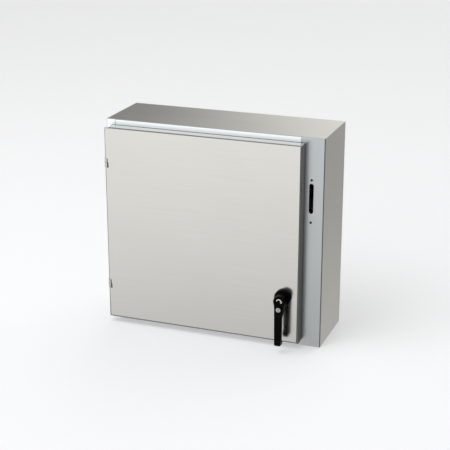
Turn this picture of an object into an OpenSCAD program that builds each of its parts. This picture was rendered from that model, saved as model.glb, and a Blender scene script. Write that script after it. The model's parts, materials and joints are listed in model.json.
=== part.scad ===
// Fused disconnect switch in a flanged wall cabinet.
// +Z is up, the door faces -Y, and the origin is the centre of the wall bolt
// pattern on the cabinet's back face.

/* [Cabinet] */
// Width of the cabinet body
body_w = 644.6; // [520:0.1:820]
// Height of the cabinet body
body_h = 609.6; // [500:0.1:760]
// Depth of the cabinet body, back face to front face
body_d = 203.2; // [190:0.1:260]
// Thickness of the body and door sheet
sheet_t = 1.9; // [1.2:0.1:2.6]
// Outside radius of the body's bends
body_bend_r = 2.8; // [2.7:0.1:5]
// Width of the front stile on the hinge side
stile_w = 27.4; // [24:0.1:40]
// Width of the front flange that carries the switch slot
flange_w = 67.5; // [58:0.1:90]
// Width of the top and bottom front rails
rail_w = 24; // [22:0.5:30]
// Height of the collar lip around the door opening
lip_h = 24.8; // [20:0.1:26]
// Width of the seam between a rail and its neighbour
seam_gap = 0.5; // [0.2:0.1:1]
// Distance of the wall bolt holes from the body's sides
wall_hole_inset_x = 23.85; // [20:0.05:60]
// Distance of the wall bolt holes from the body's top and bottom
wall_hole_inset_z = 25.4; // [20:0.1:60]
// Diameter of the wall bolt holes
wall_hole_d = 11.1; // [8:0.1:12]

/* [Switch slot] */
// Width of the slot in the flange
slot_w = 12.7; // [11:0.1:15]
// Height of the slot in the flange
slot_h = 85.7; // [80:0.1:110]
// Distance of the slot's centre from the body's right side
slot_inset = 35.8; // [34:0.1:45]
// Distance of the slot's centre below the body's top
slot_drop = 171.7; // [160:0.1:200]
// Diameter of the two operating handle holes
handle_hole_d = 6.8; // [5:0.1:9]
// Distance between the two operating handle holes
handle_hole_pitch = 121; // [116:0.1:140]
// Distance of the middle of the two holes below the slot's centre
handle_hole_drop = 7.9; // [4:0.1:10]

/* [Door] */
// Distance of the door's front face from the body's front face
door_proud = 35; // [34:0.5:45]
// Gap between the door's rim and the body's front face
rim_gap = 3; // [2:0.1:5]
// Distance from the body's left side to the door's left edge
door_margin_left = 7; // [6:0.1:9]
// Distance from the body's top or bottom to the door's edge
door_margin_z = 16.4; // [14:0.1:18]
// How far the door laps over the flange, past the opening
door_lap = 12.4; // [10:0.1:16]
// Outside radius of the door's bends
door_bend_r = 5.5; // [3:0.1:6]
// Depth of the door's rim on the hinge side
hinge_rim = 20; // [16:0.5:21]
// Length of rim left out at the hinge side's corners
corner_notch = 13; // [8:0.5:20]
// Width of the gasket strip
gasket_w = 12; // [8:0.5:13]

/* [Hinges] */
// Distance of each hinge's middle from the body's top or bottom
hinge_drop = 120.8; // [115:0.1:150]
// Height of the notch in the door at each hinge
notch_h = 26.7; // [20:0.1:40]
// Width of the notch in the door at each hinge
notch_w = 11.6; // [11:0.1:14]
// Diameter of the hinge barrels
barrel_d = 12; // [10:0.1:12]
// Diameter of the hinge pins
hinge_pin_d = 6; // [4:0.1:7]
// Distance from the door's left edge to the hinge axis
hinge_inset = 4; // [3:0.1:5]

/* [Door handle] */
// Distance from the opening's right edge to the handle's pivot
handle_inset = 33; // [30:0.1:60]
// Height of the handle's pivot above the body's bottom
handle_rise = 152.8; // [152:0.1:220]
// Diameter of the round boss on the door
boss_d = 48; // [40:0.5:54]
// Depth of the round boss
boss_h = 17; // [12:0.5:20]
// Diameter of the handle's head
head_d = 34; // [30:0.5:40]
// Distance from the door to the front of the handle's head
head_reach = 38.5; // [36:0.5:44]
// Distance from the door to the front of the grip
grip_reach = 49; // [46:0.5:56]
// Distance from the pivot to the end of the grip
grip_len = 129; // [100:1:130]
// Width of the grip
grip_w = 20; // [16:0.5:24]
// Thickness of the grip, front to back
grip_t = 15; // [12:0.5:17]
// Diameter of the key lock's plug
key_d = 13; // [11:0.5:14]
// Distance of the key lock below the pivot
key_drop = 22; // [20:0.5:26]
// Diameter of the spindle that turns in the boss
spindle_d = 16; // [12:0.1:18]

/* [Latch] */
// Crank radius of the pin that shifts the latch bar
crank_r = 18; // [17:0.5:20]
// Diameter of the crank's pin
crank_pin_d = 6; // [5:0.1:7]
// Width of the latch bar
bar_w = 22; // [20:0.5:24]
// Thickness of the latch bar
bar_t = 4; // [3:0.1:5]
// Distance of each roller from the body's top or bottom, latched
roller_drop = 99.8; // [90:0.1:115]
// Diameter of the latch rollers
roller_d = 14; // [10:0.1:16]
// Diameter of the roller pins
roller_pin_d = 6; // [4:0.1:8]

/* [Subpanel] */
// Height of the subpanel's front face above the cabinet's back face
panel_rise = 28; // [24:0.5:34]
// Thickness of the subpanel
panel_t = 2.7; // [1.9:0.1:3.5]
// Thread diameter of the subpanel's studs
stud_d = 8; // [6:0.1:10]

/* [Switch] */
// Distance between the switch poles
pole_pitch = 52; // [48:0.5:60]
// Thickness of the switch base
base_t = 25; // [20:0.5:30]
// Angle that the blades turn through
blade_swing = 56; // [40:1:60]
// Distance from the blade pivot to the blade's tip
blade_len = 88; // [84:0.5:92]
// Thickness of each blade
blade_t = 4; // [2.5:0.1:5]
// Width of each blade
blade_w = 14; // [10:0.5:16]
// Thickness of the insulating crossbar
crossbar_t = 16; // [12:0.5:18]
// Crank radius of the drive linkage
drive_r = 40; // [34:0.5:44]
// Length of the drive lever's nose, from its shaft
nose_r = 72; // [66:0.5:74]
// Thickness of the drive lever's nose
nose_t = 6; // [4:0.1:8]
// Diameter of the drive lever's shaft
shaft_d = 12; // [10:0.1:14]
// Diameter of the drive rod's pins
rod_pin_d = 8; // [6:0.1:9]

/* [Fuses] */
// Diameter of the fuse's end caps
fuse_d = 27; // [20:0.5:32.5]
// Length of a fuse
fuse_len = 60.3; // [50:0.1:62]
// Length of each end cap
ferrule_len = 15.9; // [12:0.1:18]

/* [Fits] */
// Radial clearance of a pin that turns in its hole
run_fit = 0.05; // [0.02:0.01:0.09]
// Gap between faces that slide or turn past each other
slide_gap = 0.4; // [0.3:0.05:0.8]

/* [Hidden] */
$fn = 64;

// Body planes
left_x = -body_w / 2;
right_x = body_w / 2;
top_z = body_h / 2;
bottom_z = -body_h / 2;
front_y = -body_d;

// Door opening: outer faces of the collar lip
open_left = left_x + stile_w;
open_right = right_x - flange_w;
open_top = top_z - rail_w;
lip_y = front_y - lip_h;

// Door planes
door_left = left_x + door_margin_left;
door_right = open_right + door_lap;
door_top = top_z - door_margin_z;
door_y = front_y - door_proud;
door_back_y = door_y + sheet_t;
rim_y = front_y - rim_gap;
gasket_clear = 0.3;

// Switch slot and wall bolt holes
slot_z = top_z - slot_drop;
handle_hole_z = slot_z - handle_hole_drop;
wall_hole_x = right_x - wall_hole_inset_x;
wall_hole_z = top_z - wall_hole_inset_z;

// Hinges
hinge_z = top_z - hinge_drop;
hinge_x = door_left + hinge_inset;
hinge_y = door_y + barrel_d / 2;
leaf_t = 2.5;
leaf_reach = notch_w + 3.4;
leaf_h = 60;
barrel_h = notch_h - 2 * slide_gap;
foot_w = 12;

// Handle planes
pivot_x = open_right - handle_inset;
handle_z = bottom_z + handle_rise;
boss_y = door_y - boss_h;
head_back_y = boss_y - 0.3;
head_y = door_y - head_reach;
grip_y = door_y - grip_reach;
key_z = handle_z - key_drop;
lock_y = head_y - 4;
lock_depth = 14;
spindle_y = head_back_y - 14;
neck_d = spindle_d + 8;
tail_d = 10;

// Latch planes, counted from the door's back face
nut_t = 6;
crank_t = 4;
crank_y = door_back_y + nut_t + 1.5;
crank_nut_t = 4;
tail_y = crank_y + crank_t + crank_nut_t + 0.2;
bar_y = tail_y + 0.6;
crank_angle = 45;
pin_dx = -crank_r * cos(crank_angle);
pin_dz = -crank_r * sin(crank_angle);
bar_x = pivot_x - crank_r * (1 + cos(crank_angle)) / 2;
bar_travel = 2 * crank_r * sin(crank_angle);
yoke_clear = 0.9;
roller_z = top_z - roller_drop;
bar_end_z = roller_z + 25;
guide_low_z = handle_z + 62;
guide_high_z = roller_z - 55;
guide_w = 12;
guide_wall = 3;
arm_t = 3;
arm_x = open_right - 24.8;
arm_w = 16;
roller_w = 9;
keeper_t = 5;
keeper_x = arm_x + arm_t + 3;
keeper_half_z = bar_travel - roller_d / 2 - 2.4;
roller_y = front_y + sheet_t + keeper_t + slide_gap + roller_d / 2;

// Subpanel planes
panel_y = -panel_rise;
panel_left = left_x + 32.3;
panel_right = right_x - 52.3;
panel_top = top_z - 39.8;
stud_inset = 16;

// Switch planes
slot_x = right_x - slot_inset;
base_y = panel_y - base_t;
pole_c_x = slot_x - 86.7;
base_right = pole_c_x + pole_pitch / 2 + 4;
base_left = base_right - 3 * pole_pitch - 8;
base_top = slot_z + 32;
base_bottom = slot_z - 253;
poles = [for (i = [2:-1:0]) pole_c_x - i * pole_pitch];

// Blade pivot, in Y and Z, and the direction of a blade with the switch off
blade_pivot = [base_y - 22, slot_z - 93];
off_dir = [-sin(blade_swing), cos(blade_swing)];
crossbar_r = 35;
crossbar_at = blade_pivot + crossbar_r * off_dir;
crossbar_left = base_left + 5;

// Drive linkage: a parallelogram between the lever's shaft and the blade pivot
shaft_at = [front_y + sheet_t + 3.3 + nose_r, slot_z];
link = blade_pivot - shaft_at;
link_len = norm(link);
mid_dir = [link[1], -link[0]] / link_len;
half_swing = blade_swing / 2;
off_crank = [
    mid_dir[0] * cos(half_swing) - mid_dir[1] * sin(half_swing),
    mid_dir[0] * sin(half_swing) + mid_dir[1] * cos(half_swing)
];
lever_pin_at = shaft_at + drive_r * off_crank;
bar_pin_at = blade_pivot + drive_r * off_crank;
nose_dir = [-cos(half_swing), -sin(half_swing)];
crank_left = slot_x - 29.7;
crank_plate_t = 4;
rod_t = 3.5;
rod_right = crank_left - 1.5;
bracket_left = crank_left + crank_plate_t + 2.5;
bracket_right = slot_x + 11.3;
bracket_t = 3;
bracket_half_z = 18;

// Line side
jaw_z = blade_pivot[1] + blade_len - 16;
lug_w = 24;
lug_h = 26;
lug_d = 24;
line_lug_z = base_top - 4 - lug_h;
load_lug_z = base_bottom + 6;
wire_d = 13;
lug_screw_d = 10;
wire_y = base_y - lug_d / 2 + 3;
chute_half_w = pole_pitch / 2 - 5;
chute_low = blade_pivot[1] + crossbar_r + crossbar_t / 2 + 13;
chute_high = line_lug_z - 1;
chute_y = base_y - 62;
chute_wall = 2;
shield_y = chute_y - 12;
barrier_t = 2.5;
barrier_y = base_y - 70;

// Fuses
clip_t = 2;
clip_gap = 0.3;
clip_r = fuse_d / 2 + clip_gap;
fuse_y = base_y - 4 - clip_t - clip_r;
fuse_top = blade_pivot[1] - 31;
fuse_bottom = fuse_top - fuse_len;
clip_h = ferrule_len - 5;

// How much wider an eye is than its link, on each side
eye_step = 0.4;

// ---- Shared shapes ----

// A block between two corners
module block(x0, x1, y0, y1, z0, z1) {
    translate([x0, y0, z0]) cube([x1 - x0, y1 - y0, z1 - z0]);
}

// A round bar along X, centred at y, z
module bar_along_x(at, x0, x1, d) {
    translate([x0, at[0], at[1]]) rotate([0, 90, 0]) cylinder(d = d, h = x1 - x0);
}

// A round bar along Y, centred at x, z
module bar_along_y(x, z, y0, y1, d) {
    translate([x, y0, z]) rotate([-90, 0, 0]) cylinder(d = d, h = y1 - y0);
}

// A round bar along Z, centred at x, y
module bar_along_z(x, y, z0, z1, d) {
    translate([x, y, z0]) cylinder(d = d, h = z1 - z0);
}

// A hexagon nut along Y, without its hole
module hex_along_y(x, z, y0, y1, across) {
    translate([x, y0, z]) rotate([-90, 0, 0]) cylinder(d = across / cos(30), h = y1 - y0, $fn = 6);
}

// The outline of a flat link, from the origin to a point; its round eyes are a little wider
module link_2d(to, half_w) {
    side = half_w - eye_step;
    circle(r = half_w);
    translate(to) circle(r = half_w);
    rotate(atan2(to[1], to[0])) translate([0, -side]) square([norm(to), 2 * side]);
}

// A flat bar with round ends between two points in the Y-Z plane
module flat_link(p, q, half_w, x0, x1) {
    translate([x0, p[0], p[1]]) rotate([90, 0, 90]) linear_extrude(x1 - x0) link_2d(q - p, half_w);
}

// One quarter of a bend between two sheets; the bend's centre is at the origin
module bend_2d(r) {
    intersection() {
        difference() {
            circle(r = r);
            circle(r = r - sheet_t);
        }
        translate([-r, -r]) square(r);
    }
}

// A front piece's section: a bend, a flat and the edge where the lip rises
module front_section(flat) {
    translate([body_bend_r, body_bend_r]) bend_2d(body_bend_r);
    translate([body_bend_r, 0]) square([flat - body_bend_r, sheet_t]);
}

// A tray's section, open at the back, with its two front corners rounded
module tray_section(low, high, depth, r) {
    translate([low + r, 0]) square([high - low - 2 * r, depth]);
    translate([low, r]) square([high - low, depth - r]);
    for (x = [low + r, high - r]) translate([x, r]) circle(r = r);
}

// The door's outer form, or its hollow when inset by the sheet
module door_form(inset, depth) {
    r = door_bend_r - inset;
    intersection() {
        translate([0, door_y + inset, -door_top + inset]) linear_extrude(2 * (door_top - inset))
            tray_section(door_left + inset, door_right - inset, depth, r);
        translate([door_left + inset, door_y + inset, 0]) rotate([90, 0, 90])
            linear_extrude(door_right - door_left - 2 * inset)
            rotate(90) mirror([0, 1]) tray_section(-door_top + inset, door_top - inset, depth, r);
    }
}

// ---- Cabinet ----

module back_wall() {
    color("#b9bbb8") difference() {
        block(left_x, right_x, -sheet_t, 0, bottom_z, top_z);
        for (x = [-1, 1], z = [-1, 1])
            bar_along_y(x * wall_hole_x, z * wall_hole_z, -sheet_t - 1, 1, wall_hole_d);
    }
}

module left_wall() {
    color("#b9bbb8")
        block(left_x, left_x + sheet_t, front_y + body_bend_r, -sheet_t, bottom_z, top_z);
}

module right_wall() {
    color("#a8aba6")
        block(right_x - sheet_t, right_x, front_y + body_bend_r, -sheet_t, bottom_z, top_z);
}

// A top or bottom wall, with ears that close the corners behind the stile and flange
module end_wall(z0) {
    block(left_x + sheet_t, right_x - sheet_t, front_y + body_bend_r, -sheet_t, z0, z0 + sheet_t);
    block(left_x + sheet_t, open_left, front_y + sheet_t, front_y + body_bend_r, z0, z0 + sheet_t);
    block(open_right, right_x - sheet_t, front_y + sheet_t, front_y + body_bend_r, z0, z0 + sheet_t);
}

module top_wall() {
    color("#c2c5c1") end_wall(top_z - sheet_t);
}

module bottom_wall() {
    color("#a8aba6") end_wall(bottom_z);
}

module hinge_stile() {
    color("#c6cac7") {
        translate([left_x, front_y, bottom_z]) linear_extrude(body_h) front_section(stile_w);
        block(open_left, open_left + sheet_t, lip_y, front_y + sheet_t, -open_top, open_top);
    }
}

module disconnect_flange() {
    color("#b0b4b2") {
        difference() {
            translate([right_x, front_y, bottom_z]) mirror([1, 0, 0])
                linear_extrude(body_h) front_section(flange_w);
            hull() for (s = [-1, 1])
                bar_along_y(slot_x, slot_z + s * (slot_h - slot_w) / 2,
                    front_y - 1, front_y + sheet_t + 1, slot_w);
            for (z = [-1, 1])
                bar_along_y(slot_x, handle_hole_z + z * handle_hole_pitch / 2,
                    front_y - 1, front_y + sheet_t + 1, handle_hole_d);
        }
        block(open_right - sheet_t, open_right, lip_y, front_y + sheet_t, -open_top, open_top);
    }
}

// The top rail: its bend, its flat and its part of the collar lip
module rail() {
    x0 = open_left + seam_gap;
    x1 = open_right - seam_gap;
    translate([x0, front_y, top_z]) rotate([0, 90, 0])
        linear_extrude(x1 - x0) front_section(rail_w);
    block(open_left + sheet_t, open_right - sheet_t, lip_y, front_y + sheet_t,
        open_top - sheet_t, open_top);
}

module top_rail() {
    color("#d6d9d6") rail();
}

module bottom_rail() {
    color("#b0b4b2") mirror([0, 0, 1]) rail();
}

// ---- Hinges ----

module frame_hinge_leaves() {
    color("#b9bbb8") for (s = [-1, 1]) difference() {
        low = s * hinge_z - barrel_h / 2;
        union() {
            bar_along_z(hinge_x, hinge_y, low, low + barrel_h / 2 - slide_gap / 2, barrel_d);
            block(hinge_x - barrel_d / 2, hinge_x - barrel_d / 2 + leaf_t, hinge_y, front_y,
                low, low + barrel_h / 2 - slide_gap / 2);
            block(hinge_x - barrel_d / 2, hinge_x - barrel_d / 2 + foot_w, front_y - leaf_t, front_y,
                low - 6, low + barrel_h);
        }
        bar_along_z(hinge_x, hinge_y, low - 1, low + barrel_h, hinge_pin_d);
    }
}

module hinge_pins() {
    color("#8f9290") for (s = [-1, 1])
        bar_along_z(hinge_x, hinge_y, s * hinge_z - barrel_h / 2, s * hinge_z + barrel_h / 2,
            hinge_pin_d);
}

module door_hinge_leaves() {
    color("#b9bbb8") for (s = [-1, 1]) difference() {
        low = s * hinge_z + slide_gap / 2;
        high = s * hinge_z + barrel_h / 2;
        edge = door_left + notch_w;
        union() {
            bar_along_z(hinge_x, hinge_y, low, high, barrel_d);
            block(hinge_x, edge + 0.5, door_back_y, door_back_y + leaf_t, low, high);
            block(edge, door_left + leaf_reach, door_back_y, door_back_y + leaf_t,
                s * hinge_z - leaf_h / 2, s * hinge_z + leaf_h / 2);
        }
        bar_along_z(hinge_x, hinge_y, low - 1, high + 1, hinge_pin_d + 2 * run_fit);
    }
}

// ---- Door ----

module door_pan() {
    color("#d2d1cc") difference() {
        door_form(0, door_proud - rim_gap);
        door_form(sheet_t, door_proud);
        // The hinge side's rim is shorter, so that it swings past the collar
        block(door_left - 1, door_left + sheet_t + 1, door_y + hinge_rim, rim_y + 1,
            -door_top - 1, door_top + 1);
        for (s = [-1, 1]) {
            block(door_left - 1, door_left + notch_w, door_y - 1, rim_y + 1,
                s * hinge_z - notch_h / 2, s * hinge_z + notch_h / 2);
            block(door_left - 1, door_left + corner_notch, door_back_y, rim_y + 1,
                s * door_top - door_bend_r, s * door_top + door_bend_r);
        }
        bar_along_y(pivot_x, handle_z, door_y - 1, door_back_y + 1, neck_d);
    }
}

// A flat frame on the back of the door, centred on the collar lip
module door_gasket() {
    low_y = door_back_y;
    high_y = lip_y - gasket_clear;
    mid = sheet_t / 2;
    half = gasket_w / 2;
    // Above and below, the strip stops short of the rim's inner bend
    outer_z = min(open_top - mid + half, door_top - door_bend_r - 0.2);
    outer_x = min(open_right - mid + half, door_right - door_bend_r - 0.2);
    color("#2b2c2e") difference() {
        block(open_left + mid - half, outer_x, low_y, high_y, -outer_z, outer_z);
        block(open_left + mid + half, open_right - mid - half, low_y - 1, high_y + 1,
            -open_top + mid + half, open_top - mid - half);
    }
}

// A top-hat channel that stiffens the door
module door_stiffener() {
    x = (door_left + door_right) / 2 + 60;
    low_z = -door_top + 36;
    color("#b9bbb8") {
        for (s = [-1, 1])
            block(x + s * 27 - 9, x + s * 27 + 9, door_back_y, door_back_y + sheet_t, low_z, -low_z);
        difference() {
            block(x - 20, x + 20, door_back_y, door_back_y + 16, low_z, -low_z);
            block(x - 20 + sheet_t, x + 20 - sheet_t, door_back_y - 1, door_back_y + 16 - sheet_t,
                low_z - 1, -low_z + 1);
        }
    }
}

module data_pocket() {
    x0 = door_left + 90;
    z0 = -door_top + 60;
    color("#9aa0a6") difference() {
        block(x0, x0 + 170, door_back_y, door_back_y + 24, z0, z0 + 130);
        block(x0 + 2.5, x0 + 167.5, door_back_y + 2.5, door_back_y + 21.5, z0 + 2.5, z0 + 131);
        block(x0 + 45, x0 + 125, door_back_y + 20, door_back_y + 25, z0 + 100, z0 + 131);
    }
}

// Two straps that hold the latch bar to the door and let it slide
module latch_guides() {
    half = bar_w / 2 + slide_gap;
    color("#b9bbb8") for (z = [guide_low_z, guide_high_z]) difference() {
        block(bar_x - half - guide_wall, bar_x + half + guide_wall, door_back_y,
            bar_y + bar_t + slide_gap + guide_wall, z - guide_w / 2, z + guide_w / 2);
        block(bar_x - half, bar_x + half, bar_y - slide_gap, bar_y + bar_t + slide_gap,
            z - guide_w, z + guide_w);
    }
}

// ---- Door handle and latch ----

module handle_escutcheon() {
    rim = 5;
    color("#18191b") difference() {
        union() {
            bar_along_y(pivot_x, handle_z, boss_y + rim, door_y, boss_d);
            translate([pivot_x, boss_y, handle_z]) rotate([-90, 0, 0])
                cylinder(d1 = boss_d - 2 * rim, d2 = boss_d, h = rim);
            bar_along_y(pivot_x, handle_z, door_y, door_back_y + nut_t, neck_d);
        }
        bar_along_y(pivot_x, handle_z, boss_y - 1, door_back_y + nut_t + 1, spindle_d + 2 * run_fit);
    }
}

module escutcheon_nut() {
    color("#9c9fa0") difference() {
        hex_along_y(pivot_x, handle_z, door_back_y, door_back_y + nut_t, neck_d + 8);
        bar_along_y(pivot_x, handle_z, door_back_y - 1, door_back_y + nut_t + 1, neck_d);
    }
}

// One side of the lever seen from the front, from the top of its head down, about the pivot
function lever_side() = concat(
    [for (a = [90:-7.5:-22.5]) head_d / 2 * [cos(a), sin(a)]],
    [
        [key_d / 2 + 6, -key_drop],
        [grip_w / 2, -key_drop - 20],
        [grip_w / 2 - 0.8, 4 - grip_len],
        [grip_w / 2 - 3.5, -grip_len - 4]
    ]
);

// The lever seen from its side: the head stands back from the grip, whose end turns to the door
module lever_profile() {
    grip_back = grip_y + grip_t;
    head_top = handle_z + head_d / 2 + 1;
    end_z = handle_z - grip_len;
    polygon([
        [head_back_y, head_top], [head_y, head_top], [head_y, key_z + 8],
        [grip_y, key_z - 18], [grip_y, end_z + 2], [grip_y + 2, end_z],
        [grip_back + 6, end_z - 3], [grip_back + 7, end_z + 7],
        [grip_back, end_z + 16], [grip_back, key_z - 26], [head_back_y, key_z - 6]
    ]);
}

module door_handle() {
    right = lever_side();
    left = [for (i = [len(right) - 1:-1:1]) [-right[i][0], right[i][1]]];
    color("#141416") difference() {
        union() {
            intersection() {
                translate([pivot_x, head_back_y, handle_z]) rotate([90, 0, 0])
                    linear_extrude(head_back_y - grip_y + 1) polygon(concat(right, left));
                translate([pivot_x - head_d, 0, 0]) rotate([90, 0, 90])
                    linear_extrude(2 * head_d) lever_profile();
            }
            bar_along_y(pivot_x, key_z, lock_y, lock_y + lock_depth, key_d + 6);
        }
        bar_along_y(pivot_x, handle_z, spindle_y, head_back_y + 1, spindle_d);
        bar_along_y(pivot_x, key_z, grip_y - 1, lock_y + lock_depth, key_d + 2 * run_fit);
    }
}

module handle_spindle() {
    color("#a4a7a8") {
        bar_along_y(pivot_x, handle_z, spindle_y, crank_y, spindle_d);
        bar_along_y(pivot_x, handle_z, crank_y, tail_y, tail_d);
    }
}

module latch_crank() {
    end_x = pivot_x + pin_dx;
    end_z = handle_z + pin_dz;
    color("#a4a7a8") {
        difference() {
            translate([pivot_x, crank_y + crank_t, handle_z]) rotate([90, 0, 0])
                linear_extrude(crank_t) {
                    circle(d = 24);
                    link_2d([pin_dx, pin_dz], 7);
                }
            bar_along_y(pivot_x, handle_z, crank_y - 1, crank_y + crank_t + 1, tail_d);
        }
        bar_along_y(end_x, end_z, crank_y + crank_t, bar_y + bar_t + 2, crank_pin_d);
    }
}

module crank_nut() {
    color("#9c9fa0") difference() {
        hex_along_y(pivot_x, handle_z, crank_y + crank_t, crank_y + crank_t + crank_nut_t, 17);
        bar_along_y(pivot_x, handle_z, crank_y, tail_y, tail_d);
    }
}

module key_plug() {
    color("#c9cbcc") difference() {
        bar_along_y(pivot_x, key_z, lock_y - 0.8, lock_y + lock_depth - 0.5, key_d);
        block(pivot_x - 1, pivot_x + 1, lock_y - 2, lock_y + 3, key_z - key_d / 3, key_z + key_d / 3);
    }
}

// The latch bar, its two roller arms and the pins that carry the rollers
module latch_bar() {
    slot_half = crank_pin_d / 2 + yoke_clear;
    pin_z = handle_z + pin_dz;
    color("#a4a7a8") {
        difference() {
            union() {
                block(bar_x - bar_w / 2, bar_x + bar_w / 2, bar_y, bar_y + bar_t,
                    -bar_end_z, bar_end_z);
                for (z = [-roller_z, roller_z])
                    block(bar_x, arm_x + arm_t, bar_y, bar_y + bar_t, z - arm_w / 2, z + arm_w / 2);
            }
            // Yoke slot across the bar, for the crank's pin
            block(pivot_x - crank_r - slot_half, pivot_x + pin_dx + slot_half, bar_y - 1,
                bar_y + bar_t + 1, pin_z - slot_half, pin_z + slot_half);
        }
        for (z = [-roller_z, roller_z]) {
            block(arm_x, arm_x + arm_t, bar_y, roller_y, z - arm_w / 2, z + arm_w / 2);
            bar_along_x([roller_y, z], arm_x, arm_x + arm_t, arm_w);
            bar_along_x([roller_y, z], arm_x, arm_x + arm_t + roller_w + 3, roller_pin_d);
        }
    }
}

module roller(z) {
    x0 = arm_x + arm_t + 1;
    color("#d8d8d2") difference() {
        bar_along_x([roller_y, z], x0, x0 + roller_w, roller_d);
        bar_along_x([roller_y, z], x0 - 1, x0 + roller_w + 1, roller_pin_d + 2 * run_fit);
    }
}

module upper_roller() {
    roller(roller_z);
}

module lower_roller() {
    roller(-roller_z);
}

// Tongues behind the flange that the rollers bear on
module latch_keepers() {
    back = front_y + sheet_t;
    color("#b9bbb8") for (z = [-roller_z, roller_z])
        block(keeper_x, open_right + 18, back, back + keeper_t,
            z - keeper_half_z, z + keeper_half_z);
}

// ---- Subpanel ----

stud_places = [
    for (x = [panel_left + stud_inset, panel_right - stud_inset], z = [-1, 1])
        [x, z * (panel_top - stud_inset)]
];
bracket_screw_z = [slot_z - bracket_half_z - 14, slot_z + bracket_half_z + 14];
screw_d = 6;
screw_places = concat(
    [for (x = [base_left + 9, base_right - 9], z = [base_bottom + 60, base_top - 18]) [x, z, base_y]],
    [for (z = bracket_screw_z) [bracket_left - 10, z, panel_y - bracket_t]]
);
bearing_left = base_right + 9;
bearing_t = 3;

module subpanel() {
    color("#e4e4de") difference() {
        block(panel_left, panel_right, panel_y, panel_y + panel_t, -panel_top, panel_top);
        for (p = stud_places) bar_along_y(p[0], p[1], panel_y - 1, panel_y + panel_t + 1, stud_d);
        for (p = screw_places) bar_along_y(p[0], p[1], panel_y - 1, panel_y + panel_t + 1, screw_d);
    }
}

module subpanel_studs() {
    color("#a4a7a8") for (p = stud_places) {
        bar_along_y(p[0], p[1], panel_y + panel_t, -sheet_t, stud_d + 6);
        bar_along_y(p[0], p[1], panel_y - 12, panel_y + panel_t, stud_d);
    }
}

module subpanel_nuts() {
    color("#9c9fa0") for (p = stud_places) difference() {
        hex_along_y(p[0], p[1], panel_y - 7, panel_y, stud_d + 5);
        bar_along_y(p[0], p[1], panel_y - 8, panel_y + 1, stud_d);
    }
}

module ground_bar() {
    x0 = panel_left + 60;
    z = -panel_top + 40;
    color("#c8a45a") difference() {
        block(x0, x0 + 100, panel_y - 12, panel_y, z, z + 13);
        for (i = [0:6]) {
            bar_along_z(x0 + 14 + 12 * i, panel_y - 6, z - 1, z + 14, 6);
            bar_along_y(x0 + 14 + 12 * i, z + 6.5, panel_y - 13, panel_y - 4, 5);
        }
    }
}

module panel_screws() {
    color("#9c9fa0") for (p = screw_places) {
        bar_along_y(p[0], p[1], p[2], panel_y + panel_t + 4, screw_d);
        bar_along_y(p[0], p[1], p[2] - 4, p[2], screw_d + 5);
    }
}

// ---- Switch ----

module switch_base() {
    color("#2a2b2d") difference() {
        block(base_left, base_right, base_y, panel_y, base_bottom, base_top);
        // Grooves that hold the phase barriers
        for (i = [0:1])
            block(poles[i] + pole_pitch / 2 - barrier_t / 2, poles[i] + pole_pitch / 2 + barrier_t / 2,
                base_y - 1, base_y + 6, base_bottom + 8, base_top - 6);
        for (p = screw_places)
            if (p[2] == base_y) bar_along_y(p[0], p[1], base_y - 1, panel_y + 1, screw_d);
    }
}

// A wire lug with a hole for the wire along Z and one for its screw along Y
module lug(x, z) {
    difference() {
        block(x - lug_w / 2, x + lug_w / 2, base_y - lug_d, base_y, z, z + lug_h);
        bar_along_z(x, wire_y, z - 1, z + lug_h + 1, wire_d);
        bar_along_y(x, z + lug_h / 2, base_y - lug_d - 1, wire_y, lug_screw_d);
    }
}

module line_lugs() {
    color("#c3c6c8") for (x = poles) lug(x, line_lug_z);
}

module load_lugs() {
    color("#c3c6c8") for (x = poles) {
        lug(x, load_lug_z);
        // Strap up to the lower fuse clip
        block(x - 8, x + 8, base_y - 4, base_y, load_lug_z + lug_h, fuse_bottom + clip_h + 3);
    }
}

module lug_screws() {
    color("#8f9290") for (x = poles, z = [line_lug_z, load_lug_z]) difference() {
        bar_along_y(x, z + lug_h / 2, base_y - lug_d + 1, wire_y - wire_d / 2, lug_screw_d);
        translate([x, base_y - lug_d, z + lug_h / 2]) rotate([-90, 0, 0])
            cylinder(d = 5, h = 4, $fn = 6);
    }
}

// Two spring leaves a blade closes between, and the strap up to the lug
module line_jaws() {
    gap = blade_t / 2 + slide_gap;
    color("#c98a5a") for (x = poles) {
        block(x - 9, x + 9, base_y - 4, base_y, jaw_z - 9, line_lug_z);
        for (s = [-1, 1])
            translate([x + s * (gap + 1.2), 0, 0])
                block(-1.2, 1.2, base_y - 36, base_y - 4, jaw_z - 9, jaw_z + 9);
    }
}

module arc_chutes() {
    color("#6b3b2a") for (x = poles) {
        for (s = [-1, 1])
            translate([x + s * (chute_half_w - chute_wall / 2), 0, 0])
                block(-chute_wall / 2, chute_wall / 2, chute_y, base_y, chute_low, chute_high);
        block(x - chute_half_w, x + chute_half_w, chute_y + 6, base_y - 38,
            chute_high - chute_wall, chute_high);
    }
}

// Steel plates across each chute, notched so that the blade passes
module arc_plates() {
    inner = chute_half_w - chute_wall;
    color("#7d8082") for (x = poles, i = [0:5]) {
        z = chute_low + 3 + i * 6;
        if (z < chute_high - chute_wall - 2) for (s = [-1, 1])
            translate([x + s * (inner / 2 + 3.5), 0, 0])
                block(-(inner / 2 - 3.5), inner / 2 - 3.5, chute_y + 2, base_y - 6, z, z + 1.6);
    }
}

module phase_barriers() {
    low_notch = blade_pivot[1] - 4;
    high_notch = blade_pivot[1] + crossbar_r + crossbar_t / 2 + 7;
    color("#8c2f22") for (i = [0:1]) difference() {
        x = poles[i] + pole_pitch / 2;
        block(x - barrier_t / 2, x + barrier_t / 2, barrier_y, base_y + 6,
            base_bottom + 8, base_top - 6);
        block(x - 5, x + 5, barrier_y - 1, base_y - 2, low_notch, high_notch);
    }
}

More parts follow.
